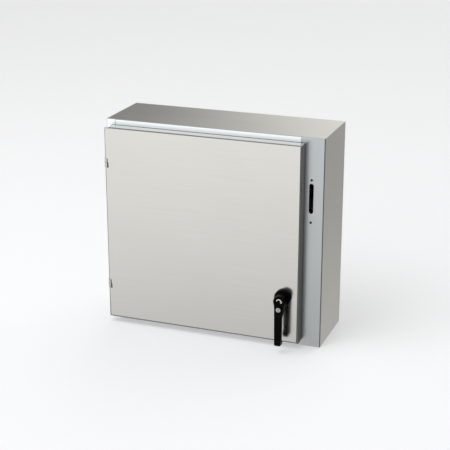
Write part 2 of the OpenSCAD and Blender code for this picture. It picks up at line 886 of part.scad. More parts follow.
// A clear cover on two posts in front of the line lugs
module line_shield() {
    low = blade_pivot[1] + blade_len - 8;
    high = base_top;
    color("#cfe6ef", 0.5) {
        block(base_left + 3, base_right - 3, shield_y, shield_y + 2, low, high);
        for (x = [base_left + 3, base_right - 9])
            block(x, x + 6, shield_y + 2, base_y, high - 8, high);
    }
}

// Two cheeks at each pole that hold the blade's pin
module blade_posts() {
    gap = blade_t / 2 + slide_gap;
    color("#c98a5a") for (x = poles) difference() {
        union() {
            block(x - 10, x + 10, base_y - 4, base_y, fuse_top - clip_h - 3, blade_pivot[1] + 10);
            for (s = [-1, 1]) {
                cx = x + s * (gap + 1.5);
                block(cx - 1.5, cx + 1.5, blade_pivot[0], base_y - 4,
                    blade_pivot[1] - 9, blade_pivot[1] + 9);
                bar_along_x(blade_pivot, cx - 1.5, cx + 1.5, 18);
            }
        }
        bar_along_x(blade_pivot, x - 11, x + 11, 6);
    }
}

module blade_pins() {
    color("#8f9290") for (x = poles) bar_along_x(blade_pivot, x - 9, x + 9, 6);
}

// Open spring clips, one at each end cap of each fuse
module fuse_clips() {
    color("#c98a5a") for (x = poles, z = [fuse_top - clip_h - 2.5, fuse_bottom + 2.5]) {
        translate([x, fuse_y, z]) linear_extrude(clip_h) difference() {
            union() {
                circle(r = clip_r + clip_t);
                translate([-clip_r - clip_t, -12]) square([2 * (clip_r + clip_t), 12]);
            }
            circle(r = clip_r);
            translate([-clip_r, -2 * clip_r]) square([2 * clip_r, 2 * clip_r]);
        }
        block(x - 7, x + 7, fuse_y + clip_r + clip_t - 0.3, base_y - 4, z, z + clip_h);
    }
}

module fuse_barrel(x) {
    color("#4a4a46") bar_along_z(x, fuse_y, fuse_bottom + ferrule_len, fuse_top - ferrule_len,
        fuse_d - 1);
}

module fuse_caps(x) {
    color("#d0b27a") for (z = [fuse_bottom, fuse_top - ferrule_len])
        bar_along_z(x, fuse_y, z, z + ferrule_len, fuse_d);
}

module fuse_a_barrel() { fuse_barrel(poles[0]); }
module fuse_a_caps() { fuse_caps(poles[0]); }
module fuse_b_barrel() { fuse_barrel(poles[1]); }
module fuse_b_caps() { fuse_caps(poles[1]); }
module fuse_c_barrel() { fuse_barrel(poles[2]); }
module fuse_c_caps() { fuse_caps(poles[2]); }

// ---- Moving blades and their drive ----

module blades() {
    tip = blade_pivot + (blade_len - blade_w / 2) * off_dir;
    color("#c98a5a") for (x = poles) difference() {
        flat_link(blade_pivot, tip, blade_w / 2, x - blade_t / 2, x + blade_t / 2);
        bar_along_x(blade_pivot, x - blade_t, x + blade_t, 6 + 2 * run_fit);
    }
}

// The insulating bar that ties the three blades together
module crossbar() {
    color("#35363a") difference() {
        translate([crossbar_left, crossbar_at[0], crossbar_at[1]])
            rotate([90 + blade_swing, 0, 0])
            translate([0, -crossbar_t / 2, -crossbar_t / 2])
            cube([crank_left - crossbar_left, crossbar_t, crossbar_t]);
        for (x = poles)
            flat_link(blade_pivot, blade_pivot + blade_len * off_dir, blade_w / 2,
                x - blade_t / 2, x + blade_t / 2);
    }
}

// The arm on the crossbar's end that the drive rod pushes, and its stub shaft
module crossbar_crank() {
    color("#a4a7a8") {
        flat_link(blade_pivot, bar_pin_at, 8, crank_left, crank_left + crank_plate_t);
        flat_link(blade_pivot, crossbar_at, 8, crank_left, crank_left + crank_plate_t);
        bar_along_x(bar_pin_at, rod_right - rod_t - 2, crank_left, rod_pin_d);
        bar_along_x(blade_pivot, bearing_left - 1, crank_left, 10);
    }
}

module crossbar_bearing() {
    color("#b9bbb8") difference() {
        union() {
            block(bearing_left, bearing_left + bearing_t, blade_pivot[0], panel_y,
                blade_pivot[1] - 9, blade_pivot[1] + 9);
            bar_along_x(blade_pivot, bearing_left, bearing_left + bearing_t, 18);
            block(bearing_left, bearing_left + 14, panel_y - bearing_t, panel_y,
                blade_pivot[1] - 14, blade_pivot[1] + 14);
        }
        bar_along_x(blade_pivot, bearing_left - 1, bearing_left + bearing_t + 1, 10 + 2 * run_fit);
    }
}

module drive_lever() {
    nose_at = shaft_at + (nose_r - 5) * nose_dir;
    hub_d = shaft_d + 10;
    color("#1f2022") difference() {
        union() {
            bar_along_x(shaft_at, bracket_left + bracket_t + slide_gap, bracket_right - slide_gap, hub_d);
            flat_link(shaft_at, nose_at, 5, slot_x - nose_t / 2, slot_x + nose_t / 2);
            flat_link(shaft_at, lever_pin_at, 9, crank_left, crank_left + crank_plate_t);
            bar_along_x(lever_pin_at, rod_right - rod_t - 2, crank_left, rod_pin_d);
        }
        bar_along_x(shaft_at, crank_left - 1, bracket_right + 1, shaft_d);
    }
}

module lever_shaft() {
    color("#a4a7a8") bar_along_x(shaft_at, crank_left, bracket_right + bracket_t + 1, shaft_d);
}

module drive_rod() {
    color("#a4a7a8") difference() {
        flat_link(lever_pin_at, bar_pin_at, 8, rod_right - rod_t, rod_right);
        for (p = [lever_pin_at, bar_pin_at])
            bar_along_x(p, rod_right - rod_t - 1, rod_right + 1, rod_pin_d + 2 * run_fit);
    }
}

// A channel that carries the lever's shaft behind the slot
module operator_bracket() {
    low = slot_z - bracket_half_z;
    high = slot_z + bracket_half_z;
    color("#b9bbb8") difference() {
        union() {
            for (x = [bracket_left, bracket_right]) {
                block(x, x + bracket_t, shaft_at[0], panel_y - bracket_t, low, high);
                bar_along_x(shaft_at, x, x + bracket_t, 2 * bracket_half_z);
            }
            block(bracket_left, bracket_right + bracket_t, panel_y - bracket_t, panel_y, low, high);
            for (z = bracket_screw_z)
                block(bracket_left - 20, bracket_left + bracket_t, panel_y - bracket_t, panel_y,
                    z - 9, z + 9);
            block(bracket_left, bracket_left + bracket_t, panel_y - bracket_t, panel_y,
                bracket_screw_z[0] - 9, bracket_screw_z[1] + 9);
        }
        bar_along_x(shaft_at, bracket_left - 1, bracket_right + bracket_t + 1, shaft_d + 2 * run_fit);
        for (p = screw_places)
            if (p[2] != base_y) bar_along_y(p[0], p[1], panel_y - 5, panel_y + 1, screw_d);
    }
}

back_wall();
left_wall();
right_wall();
top_wall();
bottom_wall();
hinge_stile();
disconnect_flange();
top_rail();
bottom_rail();
frame_hinge_leaves();
hinge_pins();
latch_keepers();
subpanel();
subpanel_studs();
subpanel_nuts();
ground_bar();
panel_screws();
switch_base();
line_lugs();
load_lugs();
lug_screws();
line_jaws();
arc_chutes();
arc_plates();
phase_barriers();
line_shield();
blade_posts();
blade_pins();
fuse_clips();
operator_bracket();
crossbar_bearing();
crossbar();
blades();
crossbar_crank();
drive_lever();
lever_shaft();
drive_rod();
fuse_a_barrel();
fuse_a_caps();
fuse_b_barrel();
fuse_b_caps();
fuse_c_barrel();
fuse_c_caps();
door_pan();
door_gasket();
door_stiffener();
door_hinge_leaves();
latch_guides();
data_pocket();
handle_escutcheon();
escutcheon_nut();
door_handle();
handle_spindle();
latch_crank();
crank_nut();
key_plug();
latch_bar();
upper_roller();
lower_roller();
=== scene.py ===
"""Visual model of a fused disconnect switch in a flanged stainless cabinet.

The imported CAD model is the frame. Every length is in metres, in the frame's own axes:
+Z up, the door faces -Y, the origin on the cabinet's back face.
"""

import json
import logging
import math
from dataclasses import dataclass, field
from enum import Enum
from typing import Sequence

import bmesh
import bpy
from mathutils import Matrix, Vector


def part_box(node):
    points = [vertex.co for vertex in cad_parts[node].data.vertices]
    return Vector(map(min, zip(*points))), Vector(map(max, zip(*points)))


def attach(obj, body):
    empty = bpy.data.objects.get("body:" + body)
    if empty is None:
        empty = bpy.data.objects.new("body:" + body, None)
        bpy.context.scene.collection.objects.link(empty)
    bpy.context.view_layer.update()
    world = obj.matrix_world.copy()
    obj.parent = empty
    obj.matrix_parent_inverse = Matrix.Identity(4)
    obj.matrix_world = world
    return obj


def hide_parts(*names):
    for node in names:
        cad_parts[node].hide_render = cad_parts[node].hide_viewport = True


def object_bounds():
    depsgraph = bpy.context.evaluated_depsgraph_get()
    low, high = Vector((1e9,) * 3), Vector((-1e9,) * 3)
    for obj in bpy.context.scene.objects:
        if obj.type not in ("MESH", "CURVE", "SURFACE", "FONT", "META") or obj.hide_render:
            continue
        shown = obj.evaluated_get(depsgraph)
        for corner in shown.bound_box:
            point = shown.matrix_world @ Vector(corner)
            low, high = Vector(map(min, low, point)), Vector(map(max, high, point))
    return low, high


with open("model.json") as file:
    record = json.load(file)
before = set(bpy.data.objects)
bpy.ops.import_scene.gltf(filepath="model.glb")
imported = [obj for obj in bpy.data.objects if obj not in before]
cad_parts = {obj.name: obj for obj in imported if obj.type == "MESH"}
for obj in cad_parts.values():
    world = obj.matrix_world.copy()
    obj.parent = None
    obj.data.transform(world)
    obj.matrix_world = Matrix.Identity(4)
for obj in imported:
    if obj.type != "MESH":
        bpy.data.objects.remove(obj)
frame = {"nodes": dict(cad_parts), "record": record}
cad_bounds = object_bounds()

log = logging.getLogger("disconnect_switch")

MM = 0.001
MERGE = 2e-6
Point2 = tuple[float, float]
Point3 = tuple[float, float, float]


# ---------------------------------------------------------------- frame helpers


@dataclass(frozen=True)
class Box:
    """The lowest and highest corners of something, in metres."""

    low: Vector
    high: Vector

    @classmethod
    def of(cls, node: str) -> "Box":
        """Reads a CAD node's box from the frame."""
        low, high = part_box(node)
        return cls(Vector(low), Vector(high))

    @property
    def centre(self) -> Vector:
        """The middle of the box."""
        return (self.low + self.high) / 2

    @property
    def size(self) -> Vector:
        """The lengths of the box's sides."""
        return self.high - self.low


def joint_place(name: str) -> Vector:
    """Gives the point that a joint turns about.

    Args:
        name: the joint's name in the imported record.

    Returns:
        The point, in metres.
    """
    joints = frame["record"]["behaviour"]["joints"]
    return Vector(next(j["pos_m"] for j in joints if j["name"] == name))


def slot_of_node(node: str) -> str:
    """Gives the record's material slot of a CAD node."""
    rows = frame["record"]["subparts"]
    return next(r["material_slot"] for r in rows if r["node"] == node)


def body_of_node(node: str) -> str:
    """Gives the body that a CAD node belongs to."""
    bodies = frame["record"]["behaviour"]["bodies"]
    return next(b for b, nodes in bodies.items() if node in nodes)


# ---------------------------------------------------------------- shader building


class Axis(Enum):
    """A direction of the object's frame."""

    X = 0
    Y = 1
    Z = 2


class Shader:
    """A material's node tree, with short ways to add nodes and links."""

    def __init__(self, name: str) -> None:
        """Makes an empty material with one Principled shader.

        Args:
            name: the material's name.
        """
        self.material = bpy.data.materials.new(name)
        self.material.use_nodes = True
        self.tree = self.material.node_tree
        self.tree.nodes.clear()
        self.surface = self.tree.nodes.new("ShaderNodeBsdfPrincipled")
        output = self.tree.nodes.new("ShaderNodeOutputMaterial")
        self.link(self.surface.outputs["BSDF"], output.inputs["Surface"])

    def link(self, start: bpy.types.NodeSocket, end: bpy.types.NodeSocket) -> None:
        """Joins an output to an input."""
        self.tree.links.new(start, end)

    def set(self, **values: object) -> None:
        """Sets the shader's own sockets, with underscores for spaces in their names."""
        for name, value in values.items():
            self.surface.inputs[name.replace("_", " ")].default_value = value

    def wire(
        self, colour: bpy.types.NodeSocket, rough: bpy.types.NodeSocket, normal: bpy.types.NodeSocket
    ) -> bpy.types.Material:
        """Links the shader's three main sockets.

        Args:
            colour: the base colour.
            rough: the roughness.
            normal: the normal.

        Returns:
            The material.
        """
        for name, socket in (("Base Color", colour), ("Roughness", rough), ("Normal", normal)):
            self.link(socket, self.surface.inputs[name])
        return self.material

    def coords(self, scale: Point3 = (1, 1, 1), at: Point3 = (0, 0, 0)) -> bpy.types.NodeSocket:
        """Gives object coordinates, scaled and shifted.

        Args:
            scale: a factor for each axis.
            at: a shift for each axis, added after scaling.

        Returns:
            The vector socket.
        """
        texture = self.tree.nodes.new("ShaderNodeTexCoord")
        mapping = self.tree.nodes.new("ShaderNodeMapping")
        mapping.inputs["Scale"].default_value = scale
        mapping.inputs["Location"].default_value = at
        self.link(texture.outputs["Object"], mapping.inputs["Vector"])
        return mapping.outputs["Vector"]

    def noise(
        self, vector: bpy.types.NodeSocket, scale: float, detail: float = 4, rough: float = 0.55
    ) -> bpy.types.NodeSocket:
        """Adds a noise texture.

        Args:
            vector: the coordinates it reads.
            scale: its scale.
            detail: its number of octaves.
            rough: how strong the finer octaves are.

        Returns:
            The factor socket.
        """
        node = self.tree.nodes.new("ShaderNodeTexNoise")
        node.inputs["Scale"].default_value = scale
        node.inputs["Detail"].default_value = detail
        node.inputs["Roughness"].default_value = rough
        self.link(vector, node.inputs["Vector"])
        return node.outputs["Fac"]

    def span(
        self, value: bpy.types.NodeSocket, low: float, high: float, start: float = 0.3, end: float = 0.7
    ) -> bpy.types.NodeSocket:
        """Maps a value from start..end to low..high.

        Args:
            value: the socket to map.
            low: the result at start.
            high: the result at end.
            start: the lower input.
            end: the upper input.

        Returns:
            The mapped socket.
        """
        node = self.tree.nodes.new("ShaderNodeMapRange")
        for name, number in (("From Min", start), ("From Max", end), ("To Min", low), ("To Max", high)):
            node.inputs[name].default_value = number
        self.link(value, node.inputs["Value"])
        return node.outputs["Result"]

    def blend(self, fac: bpy.types.NodeSocket, first: Point3, second: Point3) -> bpy.types.NodeSocket:
        """Mixes two colours by a factor.

        Args:
            fac: the share of the second colour.
            first: the colour at 0.
            second: the colour at 1.

        Returns:
            The colour socket.
        """
        node = self.tree.nodes.new("ShaderNodeValToRGB")
        node.color_ramp.elements[0].color = (*first, 1)
        node.color_ramp.elements[1].color = (*second, 1)
        self.link(fac, node.inputs["Fac"])
        return node.outputs["Color"]

    def bump(
        self, height: bpy.types.NodeSocket, depth: float, below: bpy.types.NodeSocket | None = None
    ) -> bpy.types.NodeSocket:
        """Adds a bump.

        Args:
            height: the height socket, 0 to 1.
            depth: the real depth of the bump, in metres.
            below: the normal of a bump under this one.

        Returns:
            The normal socket.
        """
        node = self.tree.nodes.new("ShaderNodeBump")
        node.inputs["Distance"].default_value = depth
        self.link(height, node.inputs["Height"])
        if below is not None:
            self.link(below, node.inputs["Normal"])
        return node.outputs["Normal"]


# ---------------------------------------------------------------- finishes


def shades(colour: Point3, share: float) -> tuple[Point3, Point3]:
    """Gives a colour darkened and lightened by a share of itself."""
    return tuple(c * (1 - share) for c in colour), tuple(min(1, c * (1 + share)) for c in colour)


@dataclass(frozen=True)
class SatinSteel:
    """Stainless sheet with a fine brushed grain and faint handling marks."""

    name: str
    colour: Point3
    roughness: float
    grain: Axis = Axis.X
    grain_depth: float = 0.0012 * MM
    tint: float = 0.04
    stretch: float = 0.02
    streak_scale: float = 1900
    band_scale: float = 260
    band_shift: Point3 = (3, 1, 2)
    cloud_scale: float = 5.5
    uneven: float = 0.02
    anisotropy: float = 0.35

    def make(self) -> bpy.types.Material:
        """Builds the material: streaks in the normal, bands in the colour, clouds in the gloss.

        Returns:
            The material.
        """
        shader = Shader(self.name)
        shader.set(Metallic=1.0, Anisotropic=self.anisotropy)
        along = [1.0, 1.0, 1.0]
        along[self.grain.value] = self.stretch
        streaks = shader.noise(shader.coords(tuple(along)), self.streak_scale, 3, 0.7)
        bands = shader.noise(shader.coords(tuple(along), self.band_shift), self.band_scale, 3, 0.6)
        clouds = shader.noise(shader.coords(), self.cloud_scale, 3, 0.5)
        colour = shader.blend(bands, *shades(self.colour, self.tint))
        rough = shader.span(clouds, self.roughness - self.uneven, self.roughness + self.uneven)
        return shader.wire(colour, rough, shader.bump(streaks, self.grain_depth))


@dataclass(frozen=True)
class WornMetal:
    """A bare or plated metal part with a mottled colour."""

    name: str
    colour: Point3
    stain: Point3
    roughness: float = 0.35
    patch: float = 60
    fine_ratio: float = 14
    pit_depth: float = 0.02 * MM
    polish: float = 0.06
    dull: float = 0.1

    def make(self) -> bpy.types.Material:
        """Builds the material: the stain's patches are duller than the clean metal.

        Returns:
            The material.
        """
        shader = Shader(self.name)
        shader.set(Metallic=1.0)
        mottle = shader.noise(shader.coords(), self.patch, 5, 0.6)
        fine = shader.noise(shader.coords(), self.patch * self.fine_ratio, 3, 0.6)
        share = shader.span(mottle, 0, 1, 0.35, 0.75)
        colour = shader.blend(share, self.colour, self.stain)
        rough = shader.span(mottle, self.roughness - self.polish, self.roughness + self.dull)
        return shader.wire(colour, rough, shader.bump(fine, self.pit_depth))


@dataclass(frozen=True)
class Coating:
    """A painted, powder-coated or moulded surface with a fine orange peel."""

    name: str
    colour: Point3
    roughness: float = 0.45
    peel: float = 900
    depth: float = 0.03 * MM
    shift: float = 0.12
    specular: float = 0.5
    cloud_ratio: float = 40
    polish: float = 0.05
    dull: float = 0.07

    def make(self) -> bpy.types.Material:
        """Builds the material: peel in the normal, clouds in the colour and the gloss.

        Returns:
            The material.
        """
        shader = Shader(self.name)
        shader.set(Specular_IOR_Level=self.specular)
        grain = shader.noise(shader.coords(), self.peel, 2, 0.5)
        clouds = shader.noise(shader.coords(), self.peel / self.cloud_ratio, 4, 0.6)
        colour = shader.blend(clouds, *shades(self.colour, self.shift))
        rough = shader.span(clouds, self.roughness - self.polish, self.roughness + self.dull)
        return shader.wire(colour, rough, shader.bump(grain, self.depth))


@dataclass(frozen=True)
class WoundTube:
    """A wound glass-fibre tube: fine turns round the Z axis."""

    name: str
    colour: Point3
    pitch: float = 0.9 * MM
    waves_per_unit: float = 20
    distortion: float = 1.2
    lighten: float = 1.5
    ridge: float = 0.08 * MM
    fibre_scale: float = 300
    gloss: Point2 = (0.38, 0.55)

    def make(self) -> bpy.types.Material:
        """Builds the material: each turn is a light ridge between dark grooves.

        Returns:
            The material.
        """
        shader = Shader(self.name)
        shader.set(Coat_Weight=0.4, Coat_Roughness=0.25)
        wave = shader.tree.nodes.new("ShaderNodeTexWave")
        wave.bands_direction = "Z"
        wave.inputs["Scale"].default_value = 1 / (self.pitch * self.waves_per_unit)
        wave.inputs["Distortion"].default_value = self.distortion
        shader.link(shader.coords(), wave.inputs["Vector"])
        turns = wave.outputs["Fac"]
        light = tuple(min(1, c * self.lighten) for c in self.colour)
        colour = shader.blend(turns, self.colour, light)
        fibres = shader.noise(shader.coords(), self.fibre_scale, 3)
        return shader.wire(colour, shader.span(fibres, *self.gloss), shader.bump(turns, self.ridge))


@dataclass(frozen=True)
class ClearSheet:
    """Clear plastic sheet with faint scuffs."""

    name: str
    colour: Point3
    clear: float = 0.92
    index: float = 1.49
    scuff_stretch: Point3 = (1, 1, 0.15)
    scuff_scale: float = 240
    gloss: Point2 = (0.03, 0.16)
    scuff_share: Point2 = (0.45, 0.8)

    def make(self) -> bpy.types.Material:
        """Builds the material: the scuffs only dull it.

        Returns:
            The material.
        """
        shader = Shader(self.name)
        shader.set(Transmission_Weight=self.clear, IOR=self.index, Base_Color=(*self.colour, 1))
        scuffs = shader.noise(shader.coords(self.scuff_stretch), self.scuff_scale, 5, 0.7)
        dull = shader.span(scuffs, *self.gloss, *self.scuff_share)
        shader.link(dull, shader.surface.inputs["Roughness"])
        return shader.material


FINISHES: tuple[SatinSteel | WornMetal | Coating | WoundTube | ClearSheet, ...] = (
    SatinSteel("body_stainless", (0.74, 0.735, 0.70), roughness=0.2, grain=Axis.Z),
    # The flange's copy of the stainless is darker and cooler than the rest: painted shade from the door
    # standing in front of it.
    SatinSteel("flange_stainless_painted_shade", (0.445, 0.475, 0.49), roughness=0.3, grain=Axis.Z),
    # The rails' and the hinge stile's copy of the stainless is lighter and bluer than the rest: a painted
    # highlight.
    SatinSteel("rail_stainless_painted_highlight", (0.79, 0.84, 0.88), roughness=0.3, grain=Axis.X),
    SatinSteel("door_stainless", (0.555, 0.55, 0.538), roughness=0.17, grain=Axis.X),
    SatinSteel("hinge_steel", (0.66, 0.655, 0.635), roughness=0.3, grain=Axis.Z),
    WornMetal("plated_steel", (0.56, 0.57, 0.58), (0.42, 0.42, 0.40), roughness=0.32, patch=90),
    Coating("panel_paint", (0.80, 0.80, 0.76), roughness=0.4, peel=700, depth=0.04 * MM, shift=0.03),
    WornMetal("brass", (0.74, 0.55, 0.25), (0.52, 0.36, 0.16), roughness=0.3, patch=70),
    Coating("switch_moulding", (0.022, 0.022, 0.025), roughness=0.5, peel=1200, depth=0.04 * MM),
    WornMetal("tinned_lug", (0.74, 0.75, 0.76), (0.6, 0.6, 0.6), roughness=0.34, patch=80),
    WornMetal("copper_part", (0.76, 0.42, 0.28), (0.5, 0.24, 0.14), roughness=0.28, patch=75),
    Coating("arc_fibre", (0.25, 0.085, 0.045), roughness=0.65, peel=500, depth=0.06 * MM, shift=0.25),
    Coating("barrier_sheet", (0.36, 0.055, 0.035), roughness=0.5, peel=800, shift=0.15),
    ClearSheet("clear_shield", (0.9, 0.96, 0.98)),
    Coating("crossbar_moulding", (0.03, 0.031, 0.036), roughness=0.45, peel=1100),
    Coating("lever_casting", (0.012, 0.012, 0.013), roughness=0.42, peel=650, depth=0.05 * MM),
    Coating(
        "gasket_rubber", (0.02, 0.02, 0.022),
        roughness=0.85, peel=600, depth=0.15 * MM, shift=0.3, specular=0.25,
    ),
    Coating("pocket_plastic", (0.36, 0.38, 0.40), roughness=0.5, peel=1000, depth=0.04 * MM, shift=0.05),
    Coating(
        "handle_casting", (0.001, 0.001, 0.0011),
        roughness=0.3, peel=480, depth=0.02 * MM, shift=0.2, specular=0.04,
    ),
    WornMetal("lock_chrome", (0.56, 0.56, 0.56), (0.48, 0.48, 0.48), roughness=0.28, patch=120),
    Coating("roller_plastic", (0.72, 0.71, 0.66), roughness=0.4, depth=0.02 * MM, shift=0.05),
    WoundTube("fuse_tube", (0.05, 0.045, 0.03)),
    WornMetal("fuse_cap", (0.75, 0.6, 0.34), (0.56, 0.42, 0.2), roughness=0.24, patch=80),
    Coating("white_ink", (0.82, 0.82, 0.80), roughness=0.5, depth=0.01 * MM, shift=0.03),
    Coating("paper_label", (0.78, 0.76, 0.70), roughness=0.6, peel=1500, depth=0.01 * MM, shift=0.03),
)
MATERIALS: dict[str, bpy.types.Material] = {finish.name: finish.make() for finish in FINISHES}


# ---------------------------------------------------------------- mesh building


def outward(mesh: bpy.types.Mesh, merge: float = 1e-6) -> None:
    """Merges a mesh's doubles and turns its faces outwards, in place.

    Args:
        mesh: the mesh.
        merge: how near two points are to be one, in metres.
    """
    bm = bmesh.new()
    bm.from_mesh(mesh)
    bmesh.ops.remove_doubles(bm, verts=bm.verts, dist=merge)
    bmesh.ops.recalc_face_normals(bm, faces=bm.faces)
    bm.to_mesh(mesh)
    bm.free()


def closed_mesh(bm: bmesh.types.BMesh, name: str) -> bpy.types.Mesh:
    """Turns a finished bmesh into a mesh, and frees it.

    Args:
        bm: the bmesh.
        name: the mesh's name.

    Returns:
        The mesh.
    """
    mesh = bpy.data.meshes.new(name)
    bm.to_mesh(mesh)
    bm.free()
    return mesh


def skin(bm: bmesh.types.BMesh, rings: Sequence[Sequence[bmesh.types.BMVert]], steps: int) -> None:
    """Joins each ring of points to the next with faces.

    Args:
        bm: the bmesh that holds the points.
        rings: the rings; a ring of one point closes an end.
        steps: the number of faces round.
    """
    for a, b in zip(rings, rings[1:]):
        for i in range(steps):
            corners = [a[i % len(a)], a[(i + 1) % len(a)], b[(i + 1) % len(b)], b[i % len(b)]]
            corners = list(dict.fromkeys(corners))
            if len(corners) > 2:
                bm.faces.new(corners)


def shade(mesh: bpy.types.Mesh, angle: float = 32) -> None:
    """Shades a mesh smooth up to an angle, and leaves sharper edges crisp.

    Args:
        mesh: the mesh.
        angle: the angle, in degrees.
    """
    mesh.shade_smooth()
    mesh.set_sharp_from_angle(angle=math.radians(angle))


def place(
    name: str,
    mesh: bpy.types.Mesh,
    body: str,
    slot: str,
    replaces: Sequence[str] = (),
    finish: str | None = None,
) -> bpy.types.Object:
    """Makes a finished piece of a mesh and joins it to the frame.

    Args:
        name: the piece's name.
        mesh: its mesh, already in place.
        body: the body that it rides on.
        slot: the record's material slot of its finish.
        replaces: the CAD nodes that it stands for.
        finish: the material, where it isn't the slot's own.

    Returns:
        The new object.
    """
    piece = bpy.data.objects.new(name, mesh)
    bpy.context.scene.collection.objects.link(piece)
    mesh.materials.clear()
    mesh.materials.append(MATERIALS[finish or slot])
    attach(piece, body)
    if replaces:
        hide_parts(*replaces)
    log.info("%s rides on %s with %d faces", name, body, len(mesh.polygons))
    return piece


def lathe(
    profile: Sequence[Point2], centre: Vector, axis: Axis, steps: int = 64
) -> bpy.types.Mesh:
    """Turns a profile round an axis.

    Args:
        profile: points of (distance along the axis, radius); a radius of 0 closes an end.
        centre: a point on the axis; distances along the axis are absolute.
        axis: the axis.
        steps: the number of steps round.

    Returns:
        A closed mesh.
    """
    bm = bmesh.new()
    along = axis.value
    side, up = [(1, 2), (2, 0), (0, 1)][along]
    rings: list[list[bmesh.types.BMVert]] = []
    for distance, radius in profile:
        ring = []
        for i in range(steps if radius > 0 else 1):
            turn = 2 * math.pi * i / steps
            point = centre.copy()
            point[along] = distance
            point[side] += radius * math.cos(turn)
            point[up] += radius * math.sin(turn)
            ring.append(bm.verts.new(point))
        rings.append(ring)
    skin(bm, rings, steps)
    if len(rings[0]) > 1 and profile[0] == profile[-1]:
        bmesh.ops.remove_doubles(bm, verts=bm.verts, dist=1e-7)
    bmesh.ops.recalc_face_normals(bm, faces=bm.faces)
    return closed_mesh(bm, "turned")


def rounded_profile(points: Sequence[Point2], radius: float, steps: int = 4) -> list[Point2]:
    """Rounds the inner corners of a profile.

    Args:
        points: the profile's corners; the first and last stay as they are.
        radius: the corner radius, in metres.
        steps: the steps in each corner.

    Returns:
        The rounded profile.
    """
    out = [points[0]]
    for before, at, after in zip(points, points[1:], points[2:]):
        p, a, b = Vector(at), Vector(before), Vector(after)
        reach = min(radius, (a - p).length * 0.45, (b - p).length * 0.45)
        start, end = p + (a - p).normalized() * reach, p + (b - p).normalized() * reach
        for i in range(steps + 1):
            t = i / steps
            q = start * (1 - t) ** 2 + p * 2 * t * (1 - t) + end * t**2
            out.append((q.x, q.y))
    out.append(points[-1])
    return out


def evaluated(piece: bpy.types.Object) -> bpy.types.Mesh:
    """Applies an object's modifiers, and removes the object.

    Args:
        piece: the object.

    Returns:
        A plain mesh.
    """
    bpy.context.view_layer.update()
    depsgraph = bpy.context.evaluated_depsgraph_get()
    mesh = bpy.data.meshes.new_from_object(piece.evaluated_get(depsgraph))
    bpy.data.objects.remove(piece)
    return mesh


def scratch(mesh: bpy.types.Mesh) -> bpy.types.Object:
    """Makes a temporary object that modifiers can work on.

    Args:
        mesh: the object's mesh.

    Returns:
        The object.
    """
    piece = bpy.data.objects.new("scratch", mesh)
    bpy.context.scene.collection.objects.link(piece)
    return piece


def soft_edges(mesh: bpy.types.Mesh, width: float, segments: int = 2, angle: float = 35) -> bpy.types.Mesh:
    """Rounds the sharp edges of a closed mesh.

    Args:
        mesh: the mesh; it isn't changed.
        width: the width of the rounding, in metres.
        segments: the steps across it.
        angle: the least angle of an edge that is rounded, in degrees.

    Returns:
        The new mesh.
    """
    copy = mesh.copy()
    outward(copy, MERGE)
    copy.shade_smooth()
    piece = scratch(copy)
    flat = piece.modifiers.new("flat", "DECIMATE")
    flat.decimate_type = "DISSOLVE"
    flat.angle_limit = math.radians(1)
    bevel = piece.modifiers.new("edges", "BEVEL")
    bevel.width = width
    bevel.segments = segments
    bevel.limit_method = "ANGLE"
    bevel.angle_limit = math.radians(angle)
    bevel.use_clamp_overlap = True
    even = piece.modifiers.new("even", "WEIGHTED_NORMAL")
    even.mode = "FACE_AREA"
    return evaluated(piece)


@dataclass(frozen=True)
class Refined:
    """A CAD node whose edges are rounded: the visible piece stands for the node."""

    node: str
    width: float
    segments: int = 2
    finish: str | None = None

    def build(self) -> None:
        """Makes the rounded copy and puts it in the node's place."""
        source = frame["nodes"][self.node].data
        mesh = soft_edges(source, self.width, self.segments)
        slot = slot_of_node(self.node)
        place(f"{self.node}_finished", mesh, body_of_node(self.node), slot, [self.node], self.finish)


# ---------------------------------------------------------------- geometry nodes


def input_ids(tree: bpy.types.NodeTree) -> dict[str, str]:
    """Gives the identifier of each of a tree's inputs, by name."""
    return {s.name: s.identifier for s in tree.interface.items_tree if s.in_out == "INPUT"}


